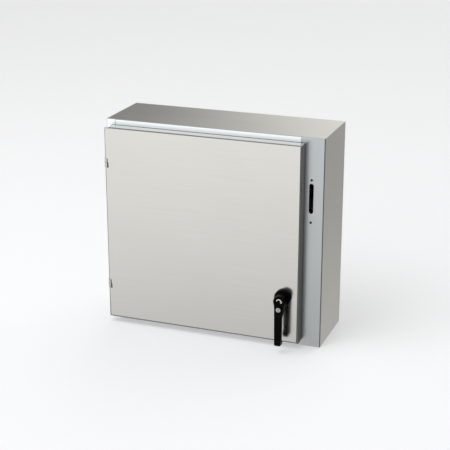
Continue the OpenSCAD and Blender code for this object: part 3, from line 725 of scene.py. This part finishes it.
class Repeat:
    """A Geometry Nodes tree that puts one small shape on every point of a mesh."""

    def __init__(self, name: str, material: bpy.types.Material) -> None:
        """Starts the tree with a mesh of places in and realised copies out.

        Args:
            name: the tree's name.
            material: what the copies are made of.
        """
        self.tree = bpy.data.node_groups.new(name, "GeometryNodeTree")
        face = self.tree.interface
        face.new_socket("Places", in_out="INPUT", socket_type="NodeSocketGeometry")
        face.new_socket("Shape", in_out="INPUT", socket_type="NodeSocketObject")
        face.new_socket("Scale", in_out="INPUT", socket_type="NodeSocketFloat").default_value = 1.0
        face.new_socket("Copies", in_out="OUTPUT", socket_type="NodeSocketGeometry")
        start = self.tree.nodes.new("NodeGroupInput")
        end = self.tree.nodes.new("NodeGroupOutput")
        info = self.tree.nodes.new("GeometryNodeObjectInfo")
        put = self.tree.nodes.new("GeometryNodeInstanceOnPoints")
        real = self.tree.nodes.new("GeometryNodeRealizeInstances")
        dress = self.tree.nodes.new("GeometryNodeSetMaterial")
        dress.inputs["Material"].default_value = material
        link = self.tree.links.new
        link(start.outputs["Places"], put.inputs["Points"])
        link(start.outputs["Shape"], info.inputs["Object"])
        link(info.outputs["Geometry"], put.inputs["Instance"])
        link(start.outputs["Scale"], put.inputs["Scale"])
        link(put.outputs["Instances"], real.inputs["Geometry"])
        link(real.outputs["Geometry"], dress.inputs["Geometry"])
        link(dress.outputs["Geometry"], end.inputs["Copies"])

    def make(self, places: Sequence[Vector], shape: bpy.types.Mesh, scale: float = 1.0) -> bpy.types.Mesh:
        """Puts the shape at each place.

        Args:
            places: the points.
            shape: a mesh around the origin.
            scale: the size of each copy.

        Returns:
            One plain mesh that holds all the copies.
        """
        points = bpy.data.meshes.new("places")
        points.from_pydata([tuple(p) for p in places], [], [])
        holder, copied = scratch(points), scratch(shape)
        modifier = holder.modifiers.new("repeat", "NODES")
        modifier.node_group = self.tree
        sockets = input_ids(self.tree)
        modifier[sockets["Shape"]] = copied
        modifier[sockets["Scale"]] = scale
        mesh = evaluated(holder)
        bpy.data.objects.remove(copied)
        shade(mesh, 40)
        return mesh


class Bead:
    """A Geometry Nodes tree that runs a rounded strip round a rectangle in the X-Z plane."""

    corner_steps: int = 8
    edge_steps: int = 4
    edge_round: float = 2.2 * MM

    def __init__(self, name: str, material: bpy.types.Material) -> None:
        """Builds the tree.

        Args:
            name: the tree's name.
            material: what the strip is made of.
        """
        self.tree = bpy.data.node_groups.new(name, "GeometryNodeTree")
        new, link = self.tree.nodes.new, self.tree.links.new
        face = self.tree.interface
        face.new_socket("Start", in_out="INPUT", socket_type="NodeSocketGeometry")
        for size in ("Across", "Up", "Corner", "Strip Width", "Strip Height"):
            face.new_socket(size, in_out="INPUT", socket_type="NodeSocketFloat")
        face.new_socket("Middle", in_out="INPUT", socket_type="NodeSocketVector")
        face.new_socket("Strip", in_out="OUTPUT", socket_type="NodeSocketGeometry")
        start, end = new("NodeGroupInput"), new("NodeGroupOutput")
        path, turn = new("GeometryNodeCurvePrimitiveQuadrilateral"), new("GeometryNodeFilletCurve")
        section, soften = new("GeometryNodeCurvePrimitiveQuadrilateral"), new("GeometryNodeFilletCurve")
        for fillet, count in ((turn, self.corner_steps), (soften, self.edge_steps)):
            fillet.mode = "POLY"
            fillet.inputs["Count"].default_value = count
        soften.inputs["Radius"].default_value = self.edge_round
        sweep, stand = new("GeometryNodeCurveToMesh"), new("GeometryNodeTransform")
        stand.inputs["Rotation"].default_value = (math.pi / 2, 0, 0)
        real, dress = new("GeometryNodeRealizeInstances"), new("GeometryNodeSetMaterial")
        dress.inputs["Material"].default_value = material
        link(start.outputs["Across"], path.inputs["Width"])
        link(start.outputs["Up"], path.inputs["Height"])
        link(path.outputs["Curve"], turn.inputs["Curve"])
        link(start.outputs["Corner"], turn.inputs["Radius"])
        link(start.outputs["Strip Width"], section.inputs["Width"])
        link(start.outputs["Strip Height"], section.inputs["Height"])
        link(section.outputs["Curve"], soften.inputs["Curve"])
        link(turn.outputs["Curve"], sweep.inputs["Curve"])
        link(soften.outputs["Curve"], sweep.inputs["Profile Curve"])
        link(sweep.outputs["Mesh"], stand.inputs["Geometry"])
        link(start.outputs["Middle"], stand.inputs["Translation"])
        link(stand.outputs["Geometry"], real.inputs["Geometry"])
        link(real.outputs["Geometry"], dress.inputs["Geometry"])
        link(dress.outputs["Geometry"], end.inputs["Strip"])

    def make(
        self, across: float, up: float, corner: float, strip: Point2, middle: Vector
    ) -> bpy.types.Mesh:
        """Runs the strip round the rectangle.

        Args:
            across: the rectangle's width along X.
            up: its height along Z.
            corner: its corner radius.
            strip: the strip's width in the plane, and its height along Y.
            middle: the centre of the rectangle.

        Returns:
            A closed mesh.
        """
        holder = scratch(bpy.data.meshes.new("bead"))
        modifier = holder.modifiers.new("bead", "NODES")
        modifier.node_group = self.tree
        sockets = input_ids(self.tree)
        width, height = strip
        sizes = {"Across": across, "Up": up, "Corner": corner, "Strip Width": width, "Strip Height": height}
        for name, size in sizes.items():
            modifier[sockets[name]] = size
        modifier[sockets["Middle"]] = tuple(middle)
        mesh = evaluated(holder)
        outward(mesh)
        shade(mesh, 50)
        return mesh


# ---------------------------------------------------------------- small shared shapes


def islands(node: str) -> list[Box]:
    """Gives the box of each separate solid in a CAD node.

    Args:
        node: the node's name.

    Returns:
        One box for each solid, in the order of their centres.
    """
    bm = bmesh.new()
    bm.from_mesh(frame["nodes"][node].data)
    bmesh.ops.remove_doubles(bm, verts=bm.verts, dist=MERGE)
    left, found = set(bm.verts), []
    while left:
        group, edge = set(), [left.pop()]
        while edge:
            vert = edge.pop()
            group.add(vert)
            near = {e.other_vert(vert) for e in vert.link_edges} & left
            left -= near
            edge.extend(near)
        places = [v.co for v in group]
        low = Vector([min(p[i] for p in places) for i in range(3)])
        high = Vector([max(p[i] for p in places) for i in range(3)])
        found.append(Box(low, high))
    bm.free()
    return sorted(found, key=lambda b: tuple(round(c, 5) for c in b.centre))


def block(size: Vector, bevel: float) -> bpy.types.Mesh:
    """Makes a block round the origin with rounded edges.

    Args:
        size: its three sides.
        bevel: the width of its rounding.

    Returns:
        The mesh.
    """
    bm = bmesh.new()
    bmesh.ops.create_cube(bm, size=1, matrix=Matrix.Diagonal((*size, 1)))
    bmesh.ops.bevel(bm, geom=bm.edges[:], offset=bevel, segments=2, affect="EDGES", profile=0.7)
    return closed_mesh(bm, "block")


def socket_screw(head: Point2, shank: Point2, socket: float, domed: bool) -> bpy.types.Mesh:
    """Makes a screw along Y with a hexagon socket, its head's front face at the origin.

    Args:
        head: the head's radius and height.
        shank: the shank's radius and length.
        socket: the distance across the socket's flats, halved.
        domed: whether the head is domed.

    Returns:
        The mesh.
    """
    radius, height = head
    shank_radius, shank_length = shank
    rise = height * (0.55 if domed else 0.18)
    floor, tip = height * 0.6, height + shank_length
    steps = 48
    # A ring with a negative size is a hexagon.
    rings = [
        (floor, 0.0), (floor, -socket), (0.0, -socket), (0.0, socket * 1.35),
        (rise * 0.35, radius * 0.86), (rise, radius), (height, radius),
        (height, shank_radius), (tip, shank_radius * 0.97), (tip, 0.0),
    ]
    bm = bmesh.new()
    made = []
    for y, size in rings:
        ring = []
        for i in range(steps if size else 1):
            turn = 2 * math.pi * i / steps
            reach = size
            if size < 0:
                reach = -size / math.cos((turn % (math.pi / 3)) - math.pi / 6)
            ring.append(bm.verts.new((reach * math.cos(turn), y, reach * math.sin(turn))))
        made.append(ring)
    skin(bm, made, steps)
    bmesh.ops.recalc_face_normals(bm, faces=bm.faces)
    return closed_mesh(bm, "screw")


# ---------------------------------------------------------------- sub-assemblies


@dataclass
class Cabinet:
    """The welded body: walls, front pieces, collar, keepers and hinge leaves."""

    edge: float = 0.35 * MM
    walls: tuple[str, ...] = ("back_wall", "left_wall", "right_wall", "top_wall", "bottom_wall")
    fronts: tuple[tuple[str, str], ...] = (
        # The flange's darker stainless is painted shade from the door in front of it.
        # The rails' and the hinge stile's lighter stainless is a painted highlight.
        ("hinge_stile", "rail_stainless_painted_highlight"), ("disconnect_flange", "flange_stainless_painted_shade"),
        ("top_rail", "rail_stainless_painted_highlight"), ("bottom_rail", "rail_stainless_painted_highlight"),
    )
    fittings: tuple[str, ...] = ("frame_hinge_leaves", "hinge_pins", "latch_keepers")

    def build(self) -> None:
        """Makes every piece of the body."""
        for node in self.walls:
            Refined(node, self.edge, 1).build()
        for node, finish in self.fronts:
            Refined(node, self.edge, 1, finish).build()
        for node in self.fittings:
            Refined(node, self.edge).build()


@dataclass
class Subpanel:
    """The mounting plate, its studs and nuts, the ground bar and the screws."""

    edge: float = 0.4 * MM
    screw_head: float = 4 * MM
    shank_share: float = 0.545
    socket_share: float = 0.42

    def build(self) -> None:
        """Makes the plate and its fittings."""
        for node in ("subpanel", "subpanel_studs", "subpanel_nuts", "ground_bar"):
            Refined(node, self.edge).build()
        self.build_screws()

    def build_screws(self) -> None:
        """Makes the panel screws, one group for each length."""
        repeat = Repeat("panel_screw_copies", MATERIALS["plated_steel"])
        found = islands("panel_screws")
        for length in sorted({round(b.size.y, 4) for b in found}):
            group = [b for b in found if round(b.size.y, 4) == length]
            radius = group[0].size.x / 2
            shank = (radius * self.shank_share, length - self.screw_head)
            shape = socket_screw((radius, self.screw_head), shank, radius * self.socket_share, True)
            places = [Vector((b.centre.x, b.low.y, b.centre.z)) for b in group]
            name = f"panel_screws_{round(length / MM)}"
            place(name, repeat.make(places, shape), "root", "plated_steel", ["panel_screws"])


@dataclass
class Door:
    """The door pan and what is fixed to it."""

    edge: float = 0.3 * MM
    stiffener_edge: float = 0.8 * MM
    pocket_edge: float = 1.1 * MM
    gasket_strip: float = 8.4 * MM
    gasket_corner: float = 9 * MM
    weld_pitch: float = 48 * MM
    weld_radius: float = 3.2 * MM
    weld_rise: float = 0.4 * MM
    weld_inset: float = 8 * MM
    stiffener_sheet: float = 1.9 * MM

    def build(self) -> None:
        """Makes the pan, the gasket, the stiffener, the pocket, the hinges and the guides."""
        Refined("door_pan", self.edge, 1).build()
        Refined("door_stiffener", self.stiffener_edge, 3).build()
        Refined("data_pocket", self.pocket_edge, 3).build()
        for node in ("door_hinge_leaves", "latch_guides"):
            Refined(node, self.edge).build()
        self.build_gasket()
        self.build_welds()

    def build_gasket(self) -> None:
        """Makes the soft strip that the collar presses into."""
        box = Box.of("door_gasket")
        width = self.gasket_strip
        bead = Bead("gasket_strip", MATERIALS["gasket_rubber"])
        mesh = bead.make(
            box.size.x - width, box.size.z - width, self.gasket_corner, (width, box.size.y), box.centre
        )
        place("gasket_bead", mesh, "door", "gasket_rubber", ["door_gasket"])

    def build_welds(self) -> None:
        """Makes the row of spot welds down each foot of the stiffener."""
        box = Box.of("door_stiffener")
        count = int(box.size.z / self.weld_pitch)
        feet = (box.low.x + self.weld_inset, box.high.x - self.weld_inset)
        deck = box.low.y + self.stiffener_sheet
        first = box.centre.z - (count - 1) * self.weld_pitch / 2
        places = [Vector((x, deck, first + i * self.weld_pitch)) for x in feet for i in range(count)]
        rise, radius = self.weld_rise, self.weld_radius
        dished = [(rise / 2, 0), (rise / 2, radius * 0.6), (rise, radius * 0.85), (0, radius)]
        profile = dished + [(-rise * 0.75, radius * 0.7), (-rise * 0.75, 0)]
        shape = lathe(profile, Vector((0, 0, 0)), Axis.Y, 20)
        repeat = Repeat("weld_copies", MATERIALS["hinge_steel"])
        welds = repeat.make(places, shape)
        place("stiffener_spot_welds", welds, "door", "body_stainless", finish="hinge_steel")


@dataclass
class DoorHandle:
    """The black cast handle with its boss, its lock and a plain turn mark."""

    voxel: float = 0.75 * MM
    smoothing: int = 5
    bore_play: float = 0.05 * MM
    neck_wall: float = 4 * MM
    boss_slope: Point2 = (7.7 * MM, 4.2 * MM)
    boss_face: Point2 = (1.2 * MM, 7 * MM)
    boss_round: float = 3 * MM
    mark_radius: float = 6.6 * MM
    mark_stroke: float = 2.1 * MM
    mark_thick: float = 0.12 * MM
    mark_root: float = 0.28 * MM
    mark_rise: float = 1 * MM
    mark_turn: Point2 = (-20, 165)
    mark_barb: Point2 = (1.7, 2.3)
    mark_overlap: float = 0.2 * MM
    head_set_back: float = 4.8 * MM
    plug_edge: float = 0.25 * MM
    fitting_edge: float = 0.5 * MM
    # The dark block in the key slot is partly a dust shutter and partly painted shade.
    shutter_and_shade_size: Vector = field(default_factory=lambda: Vector((1.9, 1.6, 8.4)) * MM)
    shutter_and_shade_depth: float = 1.3 * MM
    shutter_and_shade_edge: float = 0.15 * MM

    def build(self) -> None:
        """Makes the boss, the lever, the lock and the mark."""
        self.build_boss()
        self.build_lever()
        self.build_mark()
        Refined("key_plug", self.plug_edge).build()
        self.build_keyway_shutter_and_shade()
        for node in ("handle_spindle", "escutcheon_nut"):
            Refined(node, self.fitting_edge).build()

    def build_boss(self) -> None:
        """Turns the round boss, with its neck through the door."""
        box = Box.of("handle_escutcheon")
        door = Box.of("door_pan")
        radius = box.size.x / 2
        bore = Box.of("handle_spindle").size.x / 2 + self.bore_play
        neck = Box.of("escutcheon_nut").size.z / 2 - self.neck_wall
        front, foot, back = box.low.y, door.low.y, box.high.y
        slope_start, slope_drop = self.boss_slope
        face_start, face_drop = self.boss_face
        outer = [
            (foot, neck), (foot, radius), (front + slope_start, radius),
            (front + face_start, radius - slope_drop), (front, radius - face_drop), (front, bore),
        ]
        outer = rounded_profile(outer, self.boss_round, 6)
        profile = outer + [(back, bore), (back, neck), (foot, neck)]
        mesh = lathe(profile, box.centre, Axis.Y, 96)
        shade(mesh, 50)
        place("boss_turned", mesh, "door", "handle_casting", ["handle_escutcheon"])

    def build_lever(self) -> None:
        """Rounds the lever over all, as a die casting is."""
        copy = frame["nodes"]["door_handle"].data.copy()
        outward(copy, MERGE)
        piece = scratch(copy)
        remesh = piece.modifiers.new("skin", "REMESH")
        remesh.mode = "VOXEL"
        remesh.voxel_size = self.voxel
        remesh.use_smooth_shade = True
        smooth = piece.modifiers.new("soften", "SMOOTH")
        smooth.factor = 0.5
        smooth.iterations = self.smoothing
        mesh = evaluated(piece)
        mesh.shade_smooth()
        place("lever_casting", mesh, "handle", "handle_casting", ["door_handle"])

    def build_keyway_shutter_and_shade(self) -> None:
        """Makes the dark block behind the plug's slot: partly a dust shutter, partly painted shade that
        darkens the slot.
        """
        plug = Box.of("key_plug")
        mesh = block(self.shutter_and_shade_size, self.shutter_and_shade_edge)
        centre = Vector((plug.centre.x, plug.low.y + self.shutter_and_shade_depth, plug.centre.z))
        mesh.transform(Matrix.Translation(centre))
        outward(mesh)
        shade(mesh)
        place("key_shutter", mesh, "key_plug", "lock_chrome", finish="lever_casting")

    def build_mark(self) -> None:
        """Prints a plain arrow on the head that shows which way the handle turns."""
        pivot = joint_place("handle_turn")
        face = Box.of("key_plug").low.y + self.head_set_back
        radius, stroke = self.mark_radius, self.mark_stroke
        start, end = (math.radians(angle) for angle in self.mark_turn)
        steps = 28
        turns = [start + (end - start) * i / steps for i in range(steps + 1)]
        inner, outer = (
            [(reach * math.cos(t), reach * math.sin(t)) for t in turns]
            for reach in (radius - stroke / 2, radius + stroke / 2)
        )
        ring = inner + outer[::-1]
        barb, reach = (stroke * share for share in self.mark_barb)
        overlap = self.mark_overlap
        tip = [(radius - barb, overlap), (radius + barb, overlap), (radius, -reach)]
        middle = pivot.z + self.mark_rise
        bm = bmesh.new()
        for outline in (ring, tip):
            front = [bm.verts.new((pivot.x + x, face - self.mark_thick, middle + z)) for x, z in outline]
            made = bm.faces.new(front)
            grown = bmesh.ops.extrude_face_region(bm, geom=[made])
            verts = [v for v in grown["geom"] if isinstance(v, bmesh.types.BMVert)]
            bmesh.ops.translate(bm, verts=verts, vec=(0, self.mark_thick + self.mark_root, 0))
        bmesh.ops.recalc_face_normals(bm, faces=bm.faces)
        mesh = closed_mesh(bm, "mark")
        place("turn_mark", mesh, "handle", "handle_casting", finish="white_ink")


@dataclass
class Latch:
    """The crank, its nut, the bar and the rollers inside the door."""

    edge: float = 0.5 * MM
    roller_round: float = 1.2 * MM
    roller_bore: float = 3.05 * MM

    def build(self) -> None:
        """Makes the latch's pieces."""
        for node in ("latch_crank", "crank_nut", "latch_bar"):
            Refined(node, self.edge).build()
        for node in ("upper_roller", "lower_roller"):
            self.build_roller(node)

    def build_roller(self, node: str) -> None:
        """Turns a crowned roller with a bore.

        Args:
            node: the roller's CAD node and body.
        """
        box = Box.of(node)
        radius, bore = box.size.y / 2, self.roller_bore
        low, high = box.low.x, box.high.x
        outer = rounded_profile(
            [(low, bore), (low, radius), (box.centre.x, radius), (high, radius), (high, bore)],
            self.roller_round, 5,
        )
        mesh = lathe(outer + [(low, bore)], box.centre, Axis.X, 48)
        shade(mesh, 40)
        place(f"{node}_turned", mesh, node, "roller_plastic", [node])


@dataclass
class FusedSwitch:
    """The switch on the subpanel: base, terminals, chutes, fuses and moving blades."""

    moulded: dict[str, float] = field(default_factory=lambda: {
        "switch_base": 1.6 * MM, "crossbar": 1.4 * MM, "arc_chutes": 0.4 * MM,
        "phase_barriers": 0.5 * MM, "line_shield": 0.4 * MM,
    })
    metal: dict[str, float] = field(default_factory=lambda: {
        "line_lugs": 0.8 * MM, "load_lugs": 0.8 * MM, "line_jaws": 0.35 * MM, "blade_posts": 0.4 * MM,
        "blade_pins": 0.5 * MM, "fuse_clips": 0.35 * MM, "blades": 0.6 * MM, "crossbar_crank": 0.5 * MM,
        "crossbar_bearing": 0.5 * MM,
    })
    turn_steps: int = 72
    lug_socket: float = 2.6 * MM
    plate_edge: float = 0.3 * MM
    label_share: float = 0.62
    label_thick: float = 0.15 * MM
    label_root: float = 0.2 * MM
    cap_mouth: float = 1.6 * MM
    cap_lip: float = 0.2 * MM
    cap_groove: Point2 = (1 * MM, 0.45 * MM)
    cap_shoulder: tuple[Point2, ...] = ((1.2 * MM, 0), (0.3 * MM, 0.5 * MM), (0, 1.6 * MM))

    def build(self) -> None:
        """Makes the switch's pieces."""
        for node, width in {**self.moulded, **self.metal}.items():
            Refined(node, width).build()
        self.build_lug_screws()
        self.build_arc_plates()
        for pole in "abc":
            self.build_fuse(pole)

    def build_lug_screws(self) -> None:
        """Makes the six socket screws that clamp the wires."""
        found = islands("lug_screws")
        size = found[0].size
        radius, half = size.x / 2, size.y / 2
        shape = socket_screw((radius, half), (radius * 0.9, half), self.lug_socket, False)
        places = [Vector((b.centre.x, b.low.y, b.centre.z)) for b in found]
        repeat = Repeat("lug_screw_copies", MATERIALS["plated_steel"])
        place("lug_screws_socket", repeat.make(places, shape), "root", "plated_steel", ["lug_screws"])

    def build_arc_plates(self) -> None:
        """Makes the stacks of steel plates in the arc chutes."""
        found = islands("arc_plates")
        shape = block(found[0].size, self.plate_edge)
        repeat = Repeat("arc_plate_copies", MATERIALS["plated_steel"])
        mesh = repeat.make([b.centre for b in found], shape)
        place("arc_plate_stacks", mesh, "root", "plated_steel", ["arc_plates"])

    def build_fuse(self, pole: str) -> None:
        """Makes one fuse: its wound tube, a blank paper band and its two end caps.

        Args:
            pole: the letter of the pole.
        """
        body = f"fuse_{pole}"
        tube, caps = Box.of(f"{body}_barrel"), Box.of(f"{body}_caps")
        centre, radius = tube.centre, tube.size.x / 2
        profile = [(tube.low.z, 0), (tube.low.z, radius), (tube.high.z, radius), (tube.high.z, 0)]
        mesh = lathe(profile, centre, Axis.Z, self.turn_steps)
        shade(mesh, 40)
        place(f"{body}_tube", mesh, body, "fuse_tube", [f"{body}_barrel"])
        half = tube.size.z * self.label_share / 2
        root, skin = radius - self.label_root, radius + self.label_thick
        low, high = centre.z - half, centre.z + half
        band = [(low, root), (low, skin), (high, skin), (high, root), (low, root)]
        mesh = lathe(band, centre, Axis.Z, self.turn_steps)
        shade(mesh, 40)
        place(f"{body}_band", mesh, body, "fuse_tube", finish="paper_label")
        self.build_caps(body, caps, tube)

    def build_caps(self, body: str, caps: Box, tube: Box) -> None:
        """Turns a fuse's end caps, each with a crimp groove near its mouth.

        Args:
            body: the fuse's body.
            caps: the box of both caps.
            tube: the box of the tube between them.
        """
        radius = caps.size.x / 2
        groove_half, groove_depth = self.cap_groove
        bm = bmesh.new()
        for mouth, end in ((tube.low.z, caps.low.z), (tube.high.z, caps.high.z)):
            way = 1 if end > mouth else -1
            groove = mouth + way * (self.cap_mouth + groove_half)
            rim = [
                (mouth, 0), (mouth, radius - self.cap_lip), (groove - way * groove_half, radius),
                (groove, radius - groove_depth), (groove + way * groove_half, radius),
            ]
            shoulder = [(end - way * back, radius - drop) for back, drop in self.cap_shoulder]
            bm.from_mesh(lathe(rim + shoulder + [(end, 0)], caps.centre, Axis.Z, self.turn_steps))
        mesh = closed_mesh(bm, "caps")
        shade(mesh, 35)
        place(f"{body}_end_caps", mesh, body, "fuse_cap", [f"{body}_caps"])


@dataclass
class Operator:
    """The lever behind the slot, its shaft, its bracket and the rod to the switch."""

    edges: dict[str, float] = field(default_factory=lambda: {
        "operator_bracket": 0.6 * MM, "drive_lever": 1.0 * MM, "lever_shaft": 0.6 * MM,
        "drive_rod": 0.5 * MM,
    })

    def build(self) -> None:
        """Makes the operator's pieces."""
        for node, width in self.edges.items():
            Refined(node, width, 3).build()


# ---------------------------------------------------------------- studio


@dataclass(frozen=True)
class SoftBox:
    """A large, even light."""

    name: str
    at: Point3
    aim: Point3
    size: Point2
    power: float
    tint: Point3 = (1, 1, 1)

    def build(self) -> None:
        """Makes the light and points it at its aim."""
        data = bpy.data.lights.new(self.name, "AREA")
        data.shape = "RECTANGLE"
        data.size, data.size_y = self.size
        data.energy = self.power
        data.color = self.tint
        lamp = bpy.data.objects.new(self.name, data)
        lamp.visible_glossy = False
        lamp.location = self.at
        way = Vector(self.aim) - Vector(self.at)
        lamp.rotation_mode = "QUATERNION"
        lamp.rotation_quaternion = way.to_track_quat("-Z", "Y")
        bpy.context.scene.collection.objects.link(lamp)


@dataclass(frozen=True)
class Glow:
    """A broad bright area of the studio's dome, met with along one direction."""

    way: Point3
    fade: Point2
    strength: float
    rise_way: Point3 = (0, 0, 1)
    rise: Point2 = (-2, -1.5)

    def build(self, tree: bpy.types.NodeTree, look: bpy.types.NodeSocket) -> bpy.types.NodeSocket:
        """Adds the nodes that give the glow's strength.

        Args:
            tree: the world's node tree.
            look: the direction socket.

        Returns:
            The strength socket.
        """
        shares = []
        for way, (low, high) in ((self.way, self.fade), (self.rise_way, self.rise)):
            dot = tree.nodes.new("ShaderNodeVectorMath")
            dot.operation = "DOT_PRODUCT"
            dot.inputs[1].default_value = Vector(way).normalized()
            tree.links.new(look, dot.inputs[0])
            fade = tree.nodes.new("ShaderNodeMapRange")
            fade.interpolation_type = "SMOOTHSTEP"
            fade.inputs["From Min"].default_value = low
            fade.inputs["From Max"].default_value = high
            tree.links.new(dot.outputs["Value"], fade.inputs["Value"])
            shares.append(fade.outputs["Result"])
        both = tree.nodes.new("ShaderNodeMath")
        both.operation = "MULTIPLY"
        scale = tree.nodes.new("ShaderNodeMath")
        scale.operation = "MULTIPLY"
        scale.inputs[1].default_value = self.strength
        tree.links.new(shares[0], both.inputs[0])
        tree.links.new(shares[1], both.inputs[1])
        tree.links.new(both.outputs["Value"], scale.inputs[0])
        return scale.outputs["Value"]


@dataclass(frozen=True)
class Studio:
    """A pale floor, soft light and the camera."""

    camera_at: Point3 = (1.1687, -3.2476, 1.1541)
    camera_way: Point3 = (-0.32938, 0.88553, -0.32764)
    lens: float = 97.7
    sensor: float = 36
    floor_half: float = 14.0
    floor_gap: float = 0.2 * MM
    floor_paint: Point3 = (0.80, 0.805, 0.82)
    floor_roughness: float = 0.7
    floor_glow: Point3 = (0.97, 0.98, 1)
    floor_glow_strength: float = 0.36
    dome: Point3 = (1, 0.99, 0.965)
    dome_base: float = 0.27
    glows: tuple[Glow, ...] = (
        Glow((-0.5, -0.86, 0), (0.55, 0.9), 1.13, (0, 0, 1), (-0.66, -0.22)),
        Glow((1, 0, 0), (-0.43, -0.21), 0.68, (0, 1, 0.6), (0.55, 1.0)),
        Glow((0, -0.3, 1), (0.5, 0.95), 0.12),
        Glow((0.5, -0.85, -0.3), (0.8, 0.97), -0.24),
        Glow((0.3, 0.9, -0.35), (0.7, 1.0), 0.24, (0, 0, -1), (0.22, 0.42)),
    )
    lights: tuple[SoftBox, ...] = (
        SoftBox("overhead", (-1.5, -1.8, 4.2), (0, 0.6, 0), (3.4, 3.4), 80, (0.97, 0.98, 1)),
    )

    def build(self) -> None:
        """Makes the floor, the lights, the dome and the camera."""
        self.build_floor()
        for light in self.lights:
            light.build()
        self.build_dome()
        bpy.context.scene.view_settings.view_transform = "Standard"
        self.build_camera()

    def build_dome(self) -> None:
        """Makes the soft dome that lights the cabinet and shows in its sheet."""
        world = bpy.data.worlds.new("studio")
        world.use_nodes = True
        tree = world.node_tree
        background = tree.nodes["Background"]
        background.inputs["Color"].default_value = (*self.dome, 1)
        look = tree.nodes.new("ShaderNodeTexCoord").outputs["Generated"]
        total = None
        for glow in self.glows:
            add = tree.nodes.new("ShaderNodeMath")
            add.inputs[1].default_value = self.dome_base
            tree.links.new(glow.build(tree, look), add.inputs[0])
            if total is not None:
                tree.links.new(total, add.inputs[1])
            total = add.outputs["Value"]
        tree.links.new(total, background.inputs["Strength"])
        bpy.context.scene.world = world

    def build_floor(self) -> None:
        """Lays a plain pale floor under the cabinet."""
        level = cad_bounds[0].z - self.floor_gap
        half = self.floor_half
        corners = [(-half, -half, level), (half, -half, level), (half, half, level), (-half, half, level)]
        mesh = bpy.data.meshes.new("floor")
        mesh.from_pydata(corners, [], [(0, 1, 2, 3)])
        floor = bpy.data.objects.new("floor", mesh)
        bpy.context.scene.collection.objects.link(floor)
        paint = bpy.data.materials.new("floor_paint")
        paint.use_nodes = True
        shader = paint.node_tree.nodes["Principled BSDF"]
        shader.inputs["Base Color"].default_value = (*self.floor_paint, 1)
        shader.inputs["Roughness"].default_value = self.floor_roughness
        shader.inputs["Emission Color"].default_value = (*self.floor_glow, 1)
        shader.inputs["Emission Strength"].default_value = self.floor_glow_strength
        mesh.materials.append(paint)
        floor.visible_glossy = False

    def build_camera(self) -> None:
        """Sets the camera at the view that the cabinet is shown from."""
        data = bpy.data.cameras.new("camera")
        data.lens = self.lens
        data.sensor_width = self.sensor
        camera = bpy.data.objects.new("camera", data)
        camera.location = self.camera_at
        camera.rotation_mode = "QUATERNION"
        camera.rotation_quaternion = Vector(self.camera_way).to_track_quat("-Z", "Y")
        bpy.context.scene.collection.objects.link(camera)
        bpy.context.scene.camera = camera


def main() -> None:
    """Builds the studio and every sub-assembly."""
    logging.basicConfig(level=logging.INFO, format="%(message)s")
    Studio().build()
    parts = (Cabinet(), Subpanel(), Door(), DoorHandle(), Latch(), FusedSwitch(), Operator())
    for part in parts:
        part.build()
    log.info("built %d sub-assemblies", len(parts))


if __name__ == "__main__":
    main()
